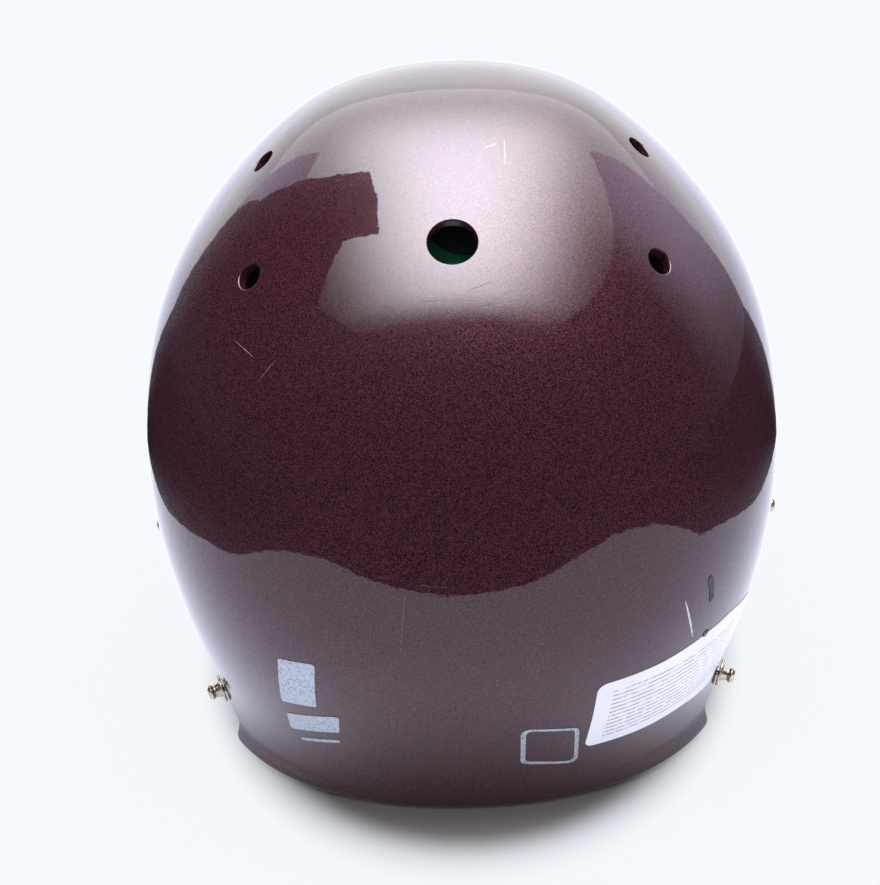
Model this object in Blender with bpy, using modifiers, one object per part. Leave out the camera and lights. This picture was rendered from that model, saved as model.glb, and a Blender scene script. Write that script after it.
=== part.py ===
"""American football helmet, in metres with +Z up.

The wearer faces -Y and the middle of the nape is at +Y. The helmet stands on a level surface at
Z = 0, on the flat lower edges of its two jaw flaps and on its neck pad, and its bounding box is
centred on X = 0 and Y = 0. The wire face guard turns about its brow bar, which lies in the two
brow straps, once the open side clips let its side bars out.
"""
import math

import bmesh
import bpy
import numpy as np
from mathutils import Matrix, Vector

# Driving sizes of the shell: reaches are taken from the crown axis
SHELL_HEIGHT = 0.246
SHELL_HALF_WIDTH = 0.1215
REAR_REACH = 0.1372
FRONT_REACH = 0.146
SHELL_WALL = 0.0040

# Clearances between pieces, how far a cutter runs past what it cuts, and how far the flat
# facets of the shell's wall may stand in from the true curve
FIT_GAP = 0.0003
PAD_GAP = 0.0009
CUT_OVERRUN = 0.012
FACET_ALLOWANCE = 0.0003
MERGE_LIMIT = 0.00001

# Half profiles of the shell, from the crown down to the rim. Each row is a share of the
# reach and a share of the height
REAR_PROFILE_SHARES = ((0.0, 1.0), (0.32, 0.97), (0.613, 0.874), (0.818, 0.736), (0.943, 0.573),
                       (1.0, 0.407), (0.99, 0.293), (0.925, 0.183), (0.832, 0.081), (0.778, 0.0))
SIDE_PROFILE_SHARES = ((0.0, 1.0), (0.362, 0.976), (0.617, 0.89), (0.843, 0.756), (0.969, 0.602),
                       (1.0, 0.439), (0.973, 0.309), (0.913, 0.187), (0.843, 0.081), (0.825, 0.0))
FRONT_PROFILE_SHARES = ((0.0, 1.0), (0.308, 0.984), (0.603, 0.919), (0.822, 0.805), (0.945, 0.667),
                        (1.0, 0.52), (0.979, 0.386), (0.918, 0.244), (0.849, 0.114), (0.808, 0.0))

# Powers of the rounded plan curve: 2 is an ellipse, and more is squarer
CROWN_POWER = 2.0
RIM_POWER_RISE = 0.25
BROW_POWER_RISE = 0.35

# Outward flare of the shell's lower rear edge, strongest behind the ears
LIP_FLARE = 0.0024
LIP_HEIGHT = 0.0085
LIP_START_DEGREES = 18.0
LIP_FULL_DEGREES = 44.0
LIP_FADE_DEGREES = 68.0
LIP_END_DEGREES = 86.0
REAR_RIM_HEIGHT = 0.0027

SLOPE_STEP = 0.0005


def spline_bends(values, flat_start):
    """Second derivatives of a cubic spline through evenly spaced values."""
    count = len(values)
    rows = np.eye(count)
    right = np.zeros(count)
    for i in range(1, count - 1):
        rows[i, i - 1:i + 2] = (1, 4, 1)
        right[i] = 6 * (values[i - 1] - 2 * values[i] + values[i + 1])
    if flat_start:
        rows[0, :2] = (2, 1)
        right[0] = 6 * (values[1] - values[0])
    return np.linalg.solve(rows, right)


def profile_spline(shares):
    """Knots and bends of one half profile: reach shares, then height shares, level at the crown."""
    reach = np.array([row[0] for row in shares])
    height = np.array([row[1] for row in shares])
    return reach, spline_bends(reach, False), height, spline_bends(height, True)


REAR_SPLINE = profile_spline(REAR_PROFILE_SHARES)
SIDE_SPLINE = profile_spline(SIDE_PROFILE_SHARES)
FRONT_SPLINE = profile_spline(FRONT_PROFILE_SHARES)


def spline_value(knots, bends, drop):
    """The spline's value where drop runs from 0 at the first knot to 1 at the last."""
    along = np.asarray(drop, float) * (len(knots) - 1)
    i = np.clip(np.floor(along).astype(int), 0, len(knots) - 2)
    u = along - i
    v = 1 - u
    curve = (v ** 3 - v) * bends[i] + (u ** 3 - u) * bends[i + 1]
    return v * knots[i] + u * knots[i + 1] + curve / 6


def ease(value):
    """Smooth step from 0 to 1, with level ends and level curvature there."""
    t = np.clip(value, 0, 1)
    return t ** 3 * (t * (6 * t - 15) + 10)


def shell_form(turn, drop):
    """Outer surface of the shell: turn is 0 at the nape and grows towards +X, and drop runs
    from 0 at the crown to 1 at the rim. The plan is a rounded curve through the rear, side
    and front profiles, and the height follows whichever profile lies nearest.
    """
    turn, drop = np.broadcast_arrays(np.asarray(turn, float), np.asarray(drop, float))
    c, s = np.cos(turn), np.sin(turn)
    reaches = []
    heights = []
    for reach, (knots, bends, levels, level_bends) in (
            (REAR_REACH, REAR_SPLINE), (SHELL_HALF_WIDTH, SIDE_SPLINE), (FRONT_REACH, FRONT_SPLINE)):
        reaches.append(np.maximum(spline_value(knots, bends, drop) * reach, MERGE_LIMIT))
        heights.append(spline_value(levels, level_bends, drop) * SHELL_HEIGHT)
    rear = ease((c + 1) / 2)
    power = CROWN_POWER + RIM_POWER_RISE * np.clip(drop, 0, 1)
    power = power + BROW_POWER_RISE * (1 - rear) * np.clip(drop, 0, 1)
    along = 1 / np.sqrt(rear / reaches[0] ** 2 + (1 - rear) / reaches[2] ** 2)
    radius = (np.abs(s / reaches[1]) ** power + np.abs(c / along) ** power) ** (-1 / power)
    z = heights[1] * s ** 2 + c ** 2 * (heights[2] * (1 - rear) + heights[0] * rear)
    side_angle = np.degrees(np.abs(np.arctan2(s, c)))
    spread = ease((side_angle - LIP_START_DEGREES) / (LIP_FULL_DEGREES - LIP_START_DEGREES))
    spread = spread * (1 - ease((side_angle - LIP_FADE_DEGREES) / (LIP_END_DEGREES - LIP_FADE_DEGREES)))
    radius = radius + LIP_FLARE * spread * ease(1 - (z - REAR_RIM_HEIGHT) / LIP_HEIGHT)
    return np.stack([radius * s, radius * c, z], -1)


def shell_normal(turn, drop):
    """Outward unit normal of shell_form, from differences either side."""
    safe = np.maximum(np.asarray(drop, float), 2 * SLOPE_STEP)
    across = shell_form(turn + SLOPE_STEP, safe) - shell_form(turn - SLOPE_STEP, safe)
    down = shell_form(turn, safe + SLOPE_STEP) - shell_form(turn, safe - SLOPE_STEP)
    normal = np.cross(across, down)
    return normal / np.linalg.norm(normal, axis=-1, keepdims=True)


def shell_point(turn, drop, depth):
    """A point at the given depth below the shell's outer surface."""
    return shell_form(turn, drop) - shell_normal(turn, drop) * np.asarray(depth)[..., None]


def find_place(first_axis, first_value, height, turn_degrees):
    """Turn and drop of the surface point with this x (axis 0) or y (axis 1) and this height."""
    place = np.array([math.radians(turn_degrees), 0.5])
    target = np.array([first_value, height])
    for _ in range(30):
        here = shell_form(place[0], place[1])[[first_axis, 2]]
        slopes = np.zeros((2, 2))
        for k in range(2):
            moved = place.copy()
            moved[k] += SLOPE_STEP
            slopes[:, k] = (shell_form(moved[0], moved[1])[[first_axis, 2]] - here) / SLOPE_STEP
        step = np.linalg.solve(slopes, target - here)
        place = place + np.clip(step, -0.2, 0.2)
        place[1] = np.clip(place[1], 0.02, 1.0)
    return place


def seat(place, depth=0.0):
    """Frame on the shell: local Z points out of it, local Y runs up it towards the crown."""
    point = Vector(shell_point(place[0], place[1], depth))
    out = Vector(shell_normal(place[0], place[1]))
    rise = Vector(shell_form(place[0], place[1] - SLOPE_STEP) - shell_form(place[0], place[1]))
    up = (rise - out * rise.dot(out)).normalized()
    frame = Matrix((up.cross(out), up, out)).transposed().to_4x4()
    frame.translation = point
    return frame


def mirrored_place(place):
    """The same place on the other side of the helmet."""
    return np.array([-place[0], place[1]])


# Collections, materials and mesh helpers
def start_scene():
    """Empty the scene and make the collections and the empty that carries every piece."""
    for item in list(bpy.data.objects):
        bpy.data.objects.remove(item, do_unlink=True)
    scene = bpy.context.scene.collection
    for name in ("football_helmet", "cutters"):
        if name not in bpy.data.collections:
            bpy.data.collections.new(name)
        if name not in scene.children:
            scene.children.link(bpy.data.collections[name])
    carrier = bpy.data.objects.new("helmet_frame", None)
    carrier.location = (0, centre_shift(), 0)
    bpy.data.collections["football_helmet"].objects.link(carrier)


def material(name, colour, roughness, metallic=0.0):
    """A Principled material, made once for each name."""
    if name in bpy.data.materials:
        return bpy.data.materials[name]
    made = bpy.data.materials.new(name)
    made.use_nodes = True
    shader = made.node_tree.nodes["Principled BSDF"]
    shader.inputs["Base Color"].default_value = (*colour, 1.0)
    shader.inputs["Roughness"].default_value = roughness
    shader.inputs["Metallic"].default_value = metallic
    return made


def maroon_paint():
    return material("maroon_paint", (0.060, 0.008, 0.014), 0.25)


def coated_wire():
    return material("coated_wire", (0.020, 0.020, 0.022), 0.45)


def strap_plastic():
    return material("strap_plastic", (0.040, 0.040, 0.043), 0.4)


def zinc_steel():
    return material("zinc_steel", (0.56, 0.55, 0.52), 0.35, 1.0)


def nickel_brass():
    return material("nickel_brass", (0.56, 0.50, 0.38), 0.28, 1.0)


def green_liner():
    return material("green_liner", (0.012, 0.130, 0.075), 0.4)


def black_vinyl():
    return material("black_vinyl", (0.018, 0.018, 0.020), 0.5)


def black_rubber():
    return material("black_rubber", (0.022, 0.022, 0.022), 0.7)


def add_object(name, mesh, finish, frame=None):
    """Link a mesh as a named piece, carried by the helmet's empty."""
    piece = bpy.data.objects.new(name, mesh)
    piece.parent = bpy.data.objects["helmet_frame"]
    if frame is not None:
        piece.matrix_basis = frame
    if finish is None:
        piece.hide_render = True
        piece.display_type = "WIRE"
        bpy.data.collections["cutters"].objects.link(piece)
    else:
        mesh.materials.append(finish)
        bpy.data.collections["football_helmet"].objects.link(piece)
    return piece


def cut(piece, cutter, operation="DIFFERENCE"):
    """Add an exact Boolean of the piece with one cutter."""
    step = piece.modifiers.new(cutter.name, "BOOLEAN")
    step.operation = operation
    step.solver = "EXACT"
    step.object = cutter


def shade(mesh, degrees=35.0):
    """Smooth shading with sharp edges kept."""
    mesh.shade_smooth()
    mesh.set_sharp_from_angle(angle=math.radians(degrees))


def turned(name, profile, sides, finish, frame):
    """A turned piece: profile rows are radius and height, down its outer side, swept about Z.

    A profile that starts and ends on the axis is open, and any other is closed into a ring.
    """
    on_axis = profile[0][0] == 0 and profile[-1][0] == 0
    count = len(profile)
    edges = [(i, i + 1) for i in range(count - 1)]
    if not on_axis:
        edges.append((count - 1, 0))
    mesh = bpy.data.meshes.new(name)
    mesh.from_pydata([(radius, 0, height) for radius, height in profile], edges, [])
    piece = add_object(name, mesh, finish, frame)
    sweep = piece.modifiers.new("turn", "SCREW")
    sweep.steps = sides
    sweep.render_steps = sides
    sweep.use_merge_vertices = True
    sweep.merge_threshold = MERGE_LIMIT
    sweep.use_smooth_shade = False
    return piece


def hole_cutter(name, place, radius, sides=20):
    """A drill square to the shell at this place, through its wall and what lies near."""
    top = SHELL_WALL + CUT_OVERRUN
    return turned(name, ((0, top), (radius, top), (radius, -top), (0, -top)), sides, None, seat(place))


def prism(name, outline, depth, finish, frame):
    """A flat outline in the frame's XY plane, given thickness evenly to both sides along Z."""
    builder = bmesh.new()
    lower = [builder.verts.new((x, y, -depth / 2)) for x, y in outline]
    face = builder.faces.new(lower)
    raised = bmesh.ops.extrude_face_region(builder, geom=[face])
    moved = [item for item in raised["geom"] if isinstance(item, bmesh.types.BMVert)]
    bmesh.ops.translate(builder, verts=moved, vec=(0, 0, depth))
    bmesh.ops.recalc_face_normals(builder, faces=builder.faces)
    mesh = bpy.data.meshes.new(name)
    builder.to_mesh(mesh)
    builder.free()
    return add_object(name, mesh, finish, frame)


def rounded_outline(corners, steps=5):
    """A closed outline through corners given as x, y and the radius of the round there."""
    points = []
    count = len(corners)
    for i, (x, y, radius) in enumerate(corners):
        here = Vector((x, y))
        before = Vector(corners[i - 1][:2])
        after = Vector(corners[(i + 1) % count][:2])
        if radius == 0:
            points.append(here)
            continue
        points.extend(fillet(before, here, after, radius, steps))
    return [tuple(point) for point in points]


def fillet(before, here, after, radius, steps):
    """Points of the arc that rounds one corner, limited to under half of each side."""
    back = (before - here)
    ahead = (after - here)
    turn_angle = math.pi - back.angle(ahead)
    if turn_angle < math.radians(1):
        return [here]
    room = 0.48 * min(back.length, ahead.length)
    cut_length = min(radius * math.tan(turn_angle / 2), room)
    used = cut_length / math.tan(turn_angle / 2)
    back.normalize()
    ahead.normalize()
    centre = here + (back + ahead).normalized() * (used / math.cos(turn_angle / 2))
    first = here + back * cut_length - centre
    last = here + ahead * cut_length - centre
    arc = []
    for k in range(steps + 1):
        angle = turn_angle * k / steps
        weight_first = math.sin(turn_angle - angle) / math.sin(turn_angle)
        weight_last = math.sin(angle) / math.sin(turn_angle)
        arc.append(centre + first * weight_first + last * weight_last)
    return arc


def hull_outline(points):
    """The convex outline round points in a plane, in order."""
    ordered = sorted(set(points))
    halves = []
    for run in (ordered, ordered[::-1]):
        chain = []
        for point in run:
            while len(chain) > 1 and turn_sign(chain[-2], chain[-1], point) <= 0:
                chain.pop()
            chain.append(point)
        halves.extend(chain[:-1])
    return halves


def turn_sign(a, b, c):
    """Twice the signed area of a triangle, positive where the path turns left."""
    return (b[0] - a[0]) * (c[1] - a[1]) - (b[1] - a[1]) * (c[0] - a[0])


def circle_points(x, y, radius, count=24):
    """Points evenly round a circle."""
    angles = [2 * math.pi * k / count for k in range(count)]
    return [(x + radius * math.cos(a), y + radius * math.sin(a)) for a in angles]


def closed_grid(name, outer, inner, finish, wrap=False):
    """A closed solid between two like grids of points, the outer one facing away from the head.

    With wrap, the first grid direction closes on itself and the second starts at one pole.
    """
    rows, columns = outer.shape[:2]
    size = rows * columns
    points = np.concatenate([outer.reshape(-1, 3), inner.reshape(-1, 3)])
    index = np.arange(size).reshape(rows, columns)
    faces = []
    for i in range(rows if wrap else rows - 1):
        n = (i + 1) % rows
        for j in range(columns - 1):
            quad = (index[i, j], index[i, j + 1], index[n, j + 1], index[n, j])
            faces.append(quad)
            faces.append(tuple(size + k for k in quad[::-1]))
        edge = (index[i, columns - 1], index[n, columns - 1])
        faces.append((edge[0], size + edge[0], size + edge[1], edge[1]))
        if not wrap:
            edge = (index[n, 0], index[i, 0])
            faces.append((edge[0], size + edge[0], size + edge[1], edge[1]))
    if not wrap:
        for j in range(columns - 1):
            edge = (index[0, j + 1], index[0, j])
            faces.append((edge[1], edge[0], size + edge[0], size + edge[1])[::-1])
            edge = (index[rows - 1, j], index[rows - 1, j + 1])
            faces.append((edge[1], edge[0], size + edge[0], size + edge[1])[::-1])
    mesh = bpy.data.meshes.new(name)
    mesh.from_pydata([tuple(p) for p in points], [], [tuple(int(k) for k in f) for f in faces])
    builder = bmesh.new()
    builder.from_mesh(mesh)
    bmesh.ops.remove_doubles(builder, verts=builder.verts, dist=MERGE_LIMIT)
    bmesh.ops.recalc_face_normals(builder, faces=builder.faces)
    builder.to_mesh(mesh)
    builder.free()
    shade(mesh, 50.0)
    return add_object(name, mesh, finish)


def evaluated_mesh(piece):
    """The piece's mesh with its modifiers applied, in the helmet's own frame."""
    bpy.context.view_layer.update()
    graph = bpy.context.evaluated_depsgraph_get()
    mesh = bpy.data.meshes.new_from_object(piece.evaluated_get(graph), depsgraph=graph)
    mesh.transform(piece.matrix_basis)
    return mesh


def mirror_twin(piece, name):
    """The same piece for the other side of the helmet, with its faces turned to point out."""
    mesh = evaluated_mesh(piece)
    mesh.name = name
    mesh.transform(Matrix.Scale(-1, 4, (1, 0, 0)))
    mesh.flip_normals()
    centre = piece.matrix_basis.translation
    place = Matrix.Translation((-centre.x, centre.y, centre.z))
    mesh.transform(place.inverted())
    mesh.materials.clear()
    finish = piece.data.materials[0] if piece.data.materials else None
    return add_object(name, mesh, finish, place)


# Shell: one moulded polycarbonate bowl, painted, cut open for the face and the neck
BROW_HEIGHT = 0.138
TEMPLE_SETBACK = 0.079
TEMPLE_HEIGHT = 0.130
CHEEK_SETBACK = 0.070
CHEEK_HEIGHT = 0.077
JAW_TIP_REACH = 0.104
JAW_TIP_HEIGHT = 0.056
JAW_TOE_REACH = 0.097
JAW_HEEL_REACH = 0.038
EAR_ARCH_HEIGHT = 0.0112
EAR_ARCH_RUN = 0.016
NAPE_STEP = 0.0545
NAPE_START = 0.0580
NAPE_DIP_START = 0.086
NAPE_DIP_END = 0.1065
NAPE_HEIGHT = 0.0005
OPENING_ROUND = 0.022
JAW_ROUND = 0.013
ARCH_ROUND = 0.018
NAPE_STEP_ROUND = 0.004
SHELL_COLUMNS = 48
SHELL_ROWS = 15
RIM_ROWS = 5
RIM_START_SHARE = 0.889
RIM_RUN_OUT_SHARE = 1.07

# Round openings in the shell: across, and where they lie from the crown axis and the ground
REAR_HOLE_RADIUS = 0.0095
REAR_HOLE_HEIGHT = 0.2149
VENT_RADIUS = 0.0062
LOWER_VENT_SIDE = 0.0720
LOWER_VENT_HEIGHT = 0.1982
UPPER_VENT_REAR = 0.0150
UPPER_VENT_HEIGHT = 0.2236
EAR_HOLE_RADIUS = 0.0150
EAR_HOLE_FORWARD = 0.028
EAR_HOLE_HEIGHT = 0.086


def side_outline():
    """The shell as seen from its side, as corners of rear-to-front place, height and round."""
    front = -FRONT_REACH - CUT_OVERRUN
    rear = REAR_REACH + CUT_OVERRUN
    top = SHELL_HEIGHT + CUT_OVERRUN
    return ((front, top, 0), (front, BROW_HEIGHT, 0),
            (-TEMPLE_SETBACK, TEMPLE_HEIGHT, OPENING_ROUND),
            (-CHEEK_SETBACK, CHEEK_HEIGHT, OPENING_ROUND),
            (-JAW_TIP_REACH, JAW_TIP_HEIGHT, JAW_ROUND),
            (-JAW_TOE_REACH, 0, JAW_ROUND),
            (-JAW_HEEL_REACH, 0, ARCH_ROUND),
            (-JAW_HEEL_REACH + EAR_ARCH_RUN, EAR_ARCH_HEIGHT, ARCH_ROUND),
            (NAPE_STEP, EAR_ARCH_HEIGHT, NAPE_STEP_ROUND),
            (NAPE_START, REAR_RIM_HEIGHT, NAPE_STEP_ROUND),
            (NAPE_DIP_START, REAR_RIM_HEIGHT, 0), (NAPE_DIP_END, NAPE_HEIGHT, 0),
            (rear, NAPE_HEIGHT, 0), (rear, top, 0))


def shell_places():
    """Places of the holes that the shell has by itself, with their radii."""
    lower = find_place(0, LOWER_VENT_SIDE, LOWER_VENT_HEIGHT, 45)
    upper = find_place(1, UPPER_VENT_REAR, UPPER_VENT_HEIGHT, 75)
    ear = find_place(1, -EAR_HOLE_FORWARD, EAR_HOLE_HEIGHT, 100)
    rear = find_place(0, 0.0, REAR_HOLE_HEIGHT, 0)
    holes = [("rear_hole", rear, REAR_HOLE_RADIUS)]
    for name, place, radius in (("lower_vent", lower, VENT_RADIUS), ("upper_vent", upper, VENT_RADIUS),
                                ("ear_hole", ear, EAR_HOLE_RADIUS)):
        holes.append((name + "_left", place, radius))
        holes.append((name + "_right", mirrored_place(place), radius))
    return holes


def make_shell():
    """The bowl as an open surface with a wall, then trimmed to its side view and drilled."""
    turns = np.linspace(0, 2 * math.pi, SHELL_COLUMNS, endpoint=False)
    upper = np.linspace(0, RIM_START_SHARE, SHELL_ROWS + 1)[1:]
    lower = np.linspace(RIM_START_SHARE, RIM_RUN_OUT_SHARE, RIM_ROWS + 1)[1:]
    drops = np.concatenate([upper, lower])
    grid = shell_form(turns[:, None], drops[None, :])
    crown = shell_form(0.0, 0.0)
    columns = len(drops)
    faces = []
    for i in range(SHELL_COLUMNS):
        n = (i + 1) % SHELL_COLUMNS
        faces.append((0, 1 + n * columns, 1 + i * columns))
        for j in range(columns - 1):
            faces.append((1 + i * columns + j, 1 + n * columns + j,
                          1 + n * columns + j + 1, 1 + i * columns + j + 1))
    mesh = bpy.data.meshes.new("shell")
    points = [tuple(crown)] + [tuple(p) for p in grid.reshape(-1, 3)]
    mesh.from_pydata(points, [], faces)
    shade(mesh)
    shell = add_object("shell", mesh, maroon_paint())
    wall = shell.modifiers.new("wall", "SOLIDIFY")
    wall.thickness = SHELL_WALL
    wall.offset = -1
    wall.use_even_offset = True
    width = 2 * (SHELL_HALF_WIDTH + CUT_OVERRUN)
    sideways = Matrix(((0, 0, 1), (1, 0, 0), (0, 1, 0))).to_4x4()
    trim = prism("side_view_cutter", rounded_outline(side_outline()), width, None, sideways)
    cut(shell, trim, "INTERSECT")
    for name, place, radius in shell_places():
        cut(shell, hole_cutter(name + "_cutter", place, radius))
    return shell


def drill_shell(shell, name, place, radius):
    """A hole in the shell for a fastener."""
    cut(shell, hole_cutter(name + "_cutter", place, radius, 16))


# Face guard: welded steel wire in a vinyl coat
WIRE_RADIUS = 0.0032
WELD_SHARE = 0.75
BROW_BAR_DROP = 0.001
BROW_BAR_STANDOFF = 0.0062
BROW_STRAIGHT = 0.060
TEMPLE_BEND_SIDE = 0.1085
TEMPLE_BEND_SHARE = 0.616
SIDE_KNEE_RISE = 0.026
SIDE_KNEE_FALL = 0.019
CHIN_SHOULDER_SIDE = 0.080
CHIN_SHOULDER_STANDOFF = 0.0
CHIN_BEND_SIDE = 0.040
CHIN_STANDOFF = 0.050
CHIN_HEIGHT = 0.031
EYE_BAR_SIDE_HEIGHT = 0.096
MOUTH_BAR_SIDE_HEIGHT = 0.074
BAR_SHOULDER_SIDE = 0.088
BAR_SHOULDER_STANDOFF = 0.004
BAR_BEND_SIDE = 0.046
EYE_BAR_STANDOFF = 0.054
EYE_BAR_HEIGHT = 0.088
MOUTH_BAR_STANDOFF = 0.061
MOUTH_BAR_HEIGHT = 0.060
UPRIGHT_SIDE = 0.027
WIDE_BEND = 0.045
BROW_BEND = 0.038
TEMPLE_BEND = 0.016
KNEE_BEND = 0.024
LOW_KNEE_BEND = 0.011
WIRE_ARC_STEPS = 5


def hinge_height():
    return BROW_HEIGHT - BROW_BAR_DROP


def hinge_reach():
    return FRONT_REACH + BROW_BAR_STANDOFF


def guard_reach():
    """How far the guard's foremost wire reaches from the crown axis."""
    return FRONT_REACH + MOUTH_BAR_STANDOFF + WIRE_RADIUS


def centre_shift():
    """How far back the crown axis lies from the middle of the helmet's length."""
    nape = shell_form(0.0, np.linspace(0, 1, PATCH_COUNT ** 2))[:, 1].max()
    return (guard_reach() - nape) / 2


def wire_path(corners):
    """Corners with bend radii, as one list of points with round bends."""
    points = []
    last = len(corners) - 1
    for i, (corner, radius) in enumerate(corners):
        here = Vector(corner)
        if i in (0, last) or radius == 0:
            points.append(here)
            continue
        points.extend(fillet(Vector(corners[i - 1][0]), here, Vector(corners[i + 1][0]), radius,
                             WIRE_ARC_STEPS))
    return points


def other_half(points):
    """A half path that ends on the middle plane, carried on to the other side."""
    return points + [Vector((-p.x, p.y, p.z)) for p in points[-2::-1]]


def frame_half():
    """The guard's outer frame from the middle of the brow, down one side, to the chin."""
    clip = clip_frame()
    grip = Vector(clip_bar_point())
    up = clip.col[1].to_3d()
    brow = -hinge_reach()
    return wire_path([
        ((0, brow, hinge_height()), 0),
        ((BROW_STRAIGHT, brow, hinge_height()), BROW_BEND),
        ((TEMPLE_BEND_SIDE, -TEMPLE_BEND_SHARE * FRONT_REACH, hinge_height()), TEMPLE_BEND),
        (tuple(grip + up * SIDE_KNEE_RISE), KNEE_BEND),
        (tuple(grip - up * SIDE_KNEE_FALL), LOW_KNEE_BEND),
        ((CHIN_SHOULDER_SIDE, -FRONT_REACH - CHIN_SHOULDER_STANDOFF, CHIN_HEIGHT), WIDE_BEND),
        ((CHIN_BEND_SIDE, -FRONT_REACH - CHIN_STANDOFF, CHIN_HEIGHT), WIDE_BEND),
        ((0, -FRONT_REACH - CHIN_STANDOFF, CHIN_HEIGHT), 0)])


def point_at_height(points, height):
    """Where a path first crosses a height on its way down."""
    for first, second in zip(points, points[1:]):
        if first.z >= height > second.z:
            return first.lerp(second, (first.z - height) / (first.z - second.z))
    raise ValueError("the path does not reach that height")


def point_at_side(points, side):
    """Where a path crosses a distance from the middle plane, nearest the middle."""
    for first, second in zip(points[::-1], points[-2::-1]):
        if first.x <= side < second.x:
            return first.lerp(second, (side - first.x) / (second.x - first.x))
    raise ValueError("the path does not reach that far out")


def cross_half(frame, side_height, standoff, height):
    """Half of a cross bar, from its weld on the side wire to the middle plane."""
    weld = point_at_height(frame, side_height)
    shoulder = -FRONT_REACH - BAR_SHOULDER_STANDOFF
    ahead = -FRONT_REACH - standoff
    between = (side_height + height) / 2
    return wire_path([(tuple(weld), 0),
                      ((BAR_SHOULDER_SIDE, shoulder, between), WIDE_BEND),
                      ((BAR_BEND_SIDE, ahead, height), WIDE_BEND),
                      ((0, ahead, height), 0)])


def wire(name, points, closed=False):
    """A bent wire as a mesh: a bevelled curve with its caps welded."""
    curve = bpy.data.curves.new(name, "CURVE")
    curve.dimensions = "3D"
    curve.bevel_depth = WIRE_RADIUS
    curve.bevel_resolution = 2
    curve.use_fill_caps = not closed
    line = curve.splines.new("POLY")
    line.points.add(len(points) - 1)
    for slot, point in zip(line.points, points):
        slot.co = (*point, 1)
    line.use_cyclic_u = closed
    holder = bpy.data.objects.new(name, curve)
    bpy.context.scene.collection.objects.link(holder)
    bpy.context.view_layer.update()
    graph = bpy.context.evaluated_depsgraph_get()
    mesh = bpy.data.meshes.new_from_object(holder.evaluated_get(graph), depsgraph=graph)
    bpy.data.objects.remove(holder, do_unlink=True)
    builder = bmesh.new()
    builder.from_mesh(mesh)
    bmesh.ops.remove_doubles(builder, verts=builder.verts, dist=MERGE_LIMIT)
    bmesh.ops.recalc_face_normals(builder, faces=builder.faces)
    builder.to_mesh(mesh)
    builder.free()
    return mesh


def upright_path(bars, side):
    """A short upright behind the cross bars, welded to each of them."""
    sink = WELD_SHARE * 2 * WIRE_RADIUS
    points = []
    for bar in bars:
        meet = point_at_side(bar, abs(side))
        points.append(Vector((side, meet.y + sink, meet.z)))
    points[0].z += WIRE_RADIUS
    points[-1].z -= WIRE_RADIUS
    return points


def make_face_guard():
    """The frame loop, two cross bars and two uprights, welded into one and hung on its brow bar."""
    half = frame_half()
    loop = other_half(half)[:-1]
    eye = cross_half(half, EYE_BAR_SIDE_HEIGHT, EYE_BAR_STANDOFF, EYE_BAR_HEIGHT)
    mouth = cross_half(half, MOUTH_BAR_SIDE_HEIGHT, MOUTH_BAR_STANDOFF, MOUTH_BAR_HEIGHT)
    axis = Matrix.Translation((0, -hinge_reach(), hinge_height()))
    frame_mesh = wire("face_guard", loop, closed=True)
    frame_mesh.transform(axis.inverted())
    shade(frame_mesh)
    guard = add_object("face_guard", frame_mesh, coated_wire(), axis)
    runs = [("eye_bar", other_half(eye)), ("mouth_bar", other_half(mouth))]
    for name, side in (("upright_left", UPRIGHT_SIDE), ("upright_right", -UPRIGHT_SIDE)):
        runs.append((name, upright_path([eye, mouth, half], side)))
    for name, points in runs:
        cut(guard, add_object(name + "_wire", wire(name, points), None), "UNION")
    return guard


# Brow straps: two moulded loops that hold the brow bar and let it turn
STRAP_SIDE = 0.032
STRAP_WIDTH = 0.013
STRAP_TAIL = 0.0075
STRAP_PLY = 0.0040
STRAP_LOOP_WALL = 0.0021
STRAP_RISE = 0.018
LOOP_CLEARANCE = 0.00035
STRAP_EDGE_ROUND = 0.002

# Strap and clip fasteners: a screw from outside into a barrel nut from inside
SCREW_RADIUS = 0.0020
SCREW_HEAD_RADIUS = 0.0046
SCREW_HEAD_HEIGHT = 0.0022
SCREW_POINT = 0.0012
HEAD_TOP_SHARE = 0.75
RECESS_CLEARANCE = 0.0005
BARREL_RADIUS = 0.0032
BARREL_FLANGE_RADIUS = 0.0068
BARREL_FLANGE = 0.0013
FASTENER_SIDES = 12
PATCH_REACH_SHARE = 1.6
PATCH_COUNT = 25


def strap_place():
    return find_place(0, STRAP_SIDE, BROW_HEIGHT + STRAP_RISE, 165)


def strap_frame():
    """Frame of a brow strap: Z along the brow bar, X up the shell, Y out of it."""
    place = strap_place()
    point = Vector(shell_form(place[0], place[1]))
    normal = Vector(shell_normal(place[0], place[1]))
    out = Vector((0, normal.y, normal.z)).normalized()
    up = out.cross(Vector((1, 0, 0)))
    frame = Matrix((up, out, up.cross(out))).transposed().to_4x4()
    frame.translation = point
    return frame


def strap_rest_height(frame):
    """How far the shell bulges past the frame's own point under the strap's width."""
    inner = find_place(0, STRAP_SIDE - STRAP_WIDTH / 2, BROW_HEIGHT + STRAP_RISE, 165)
    bulges = []
    for step in (-1, 0, 1):
        drop = inner[1] - step * STRAP_TAIL / SHELL_HEIGHT
        point = frame.inverted() @ Vector(shell_form(inner[0], drop))
        bulges.append(point.y)
    return max(bulges)


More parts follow.
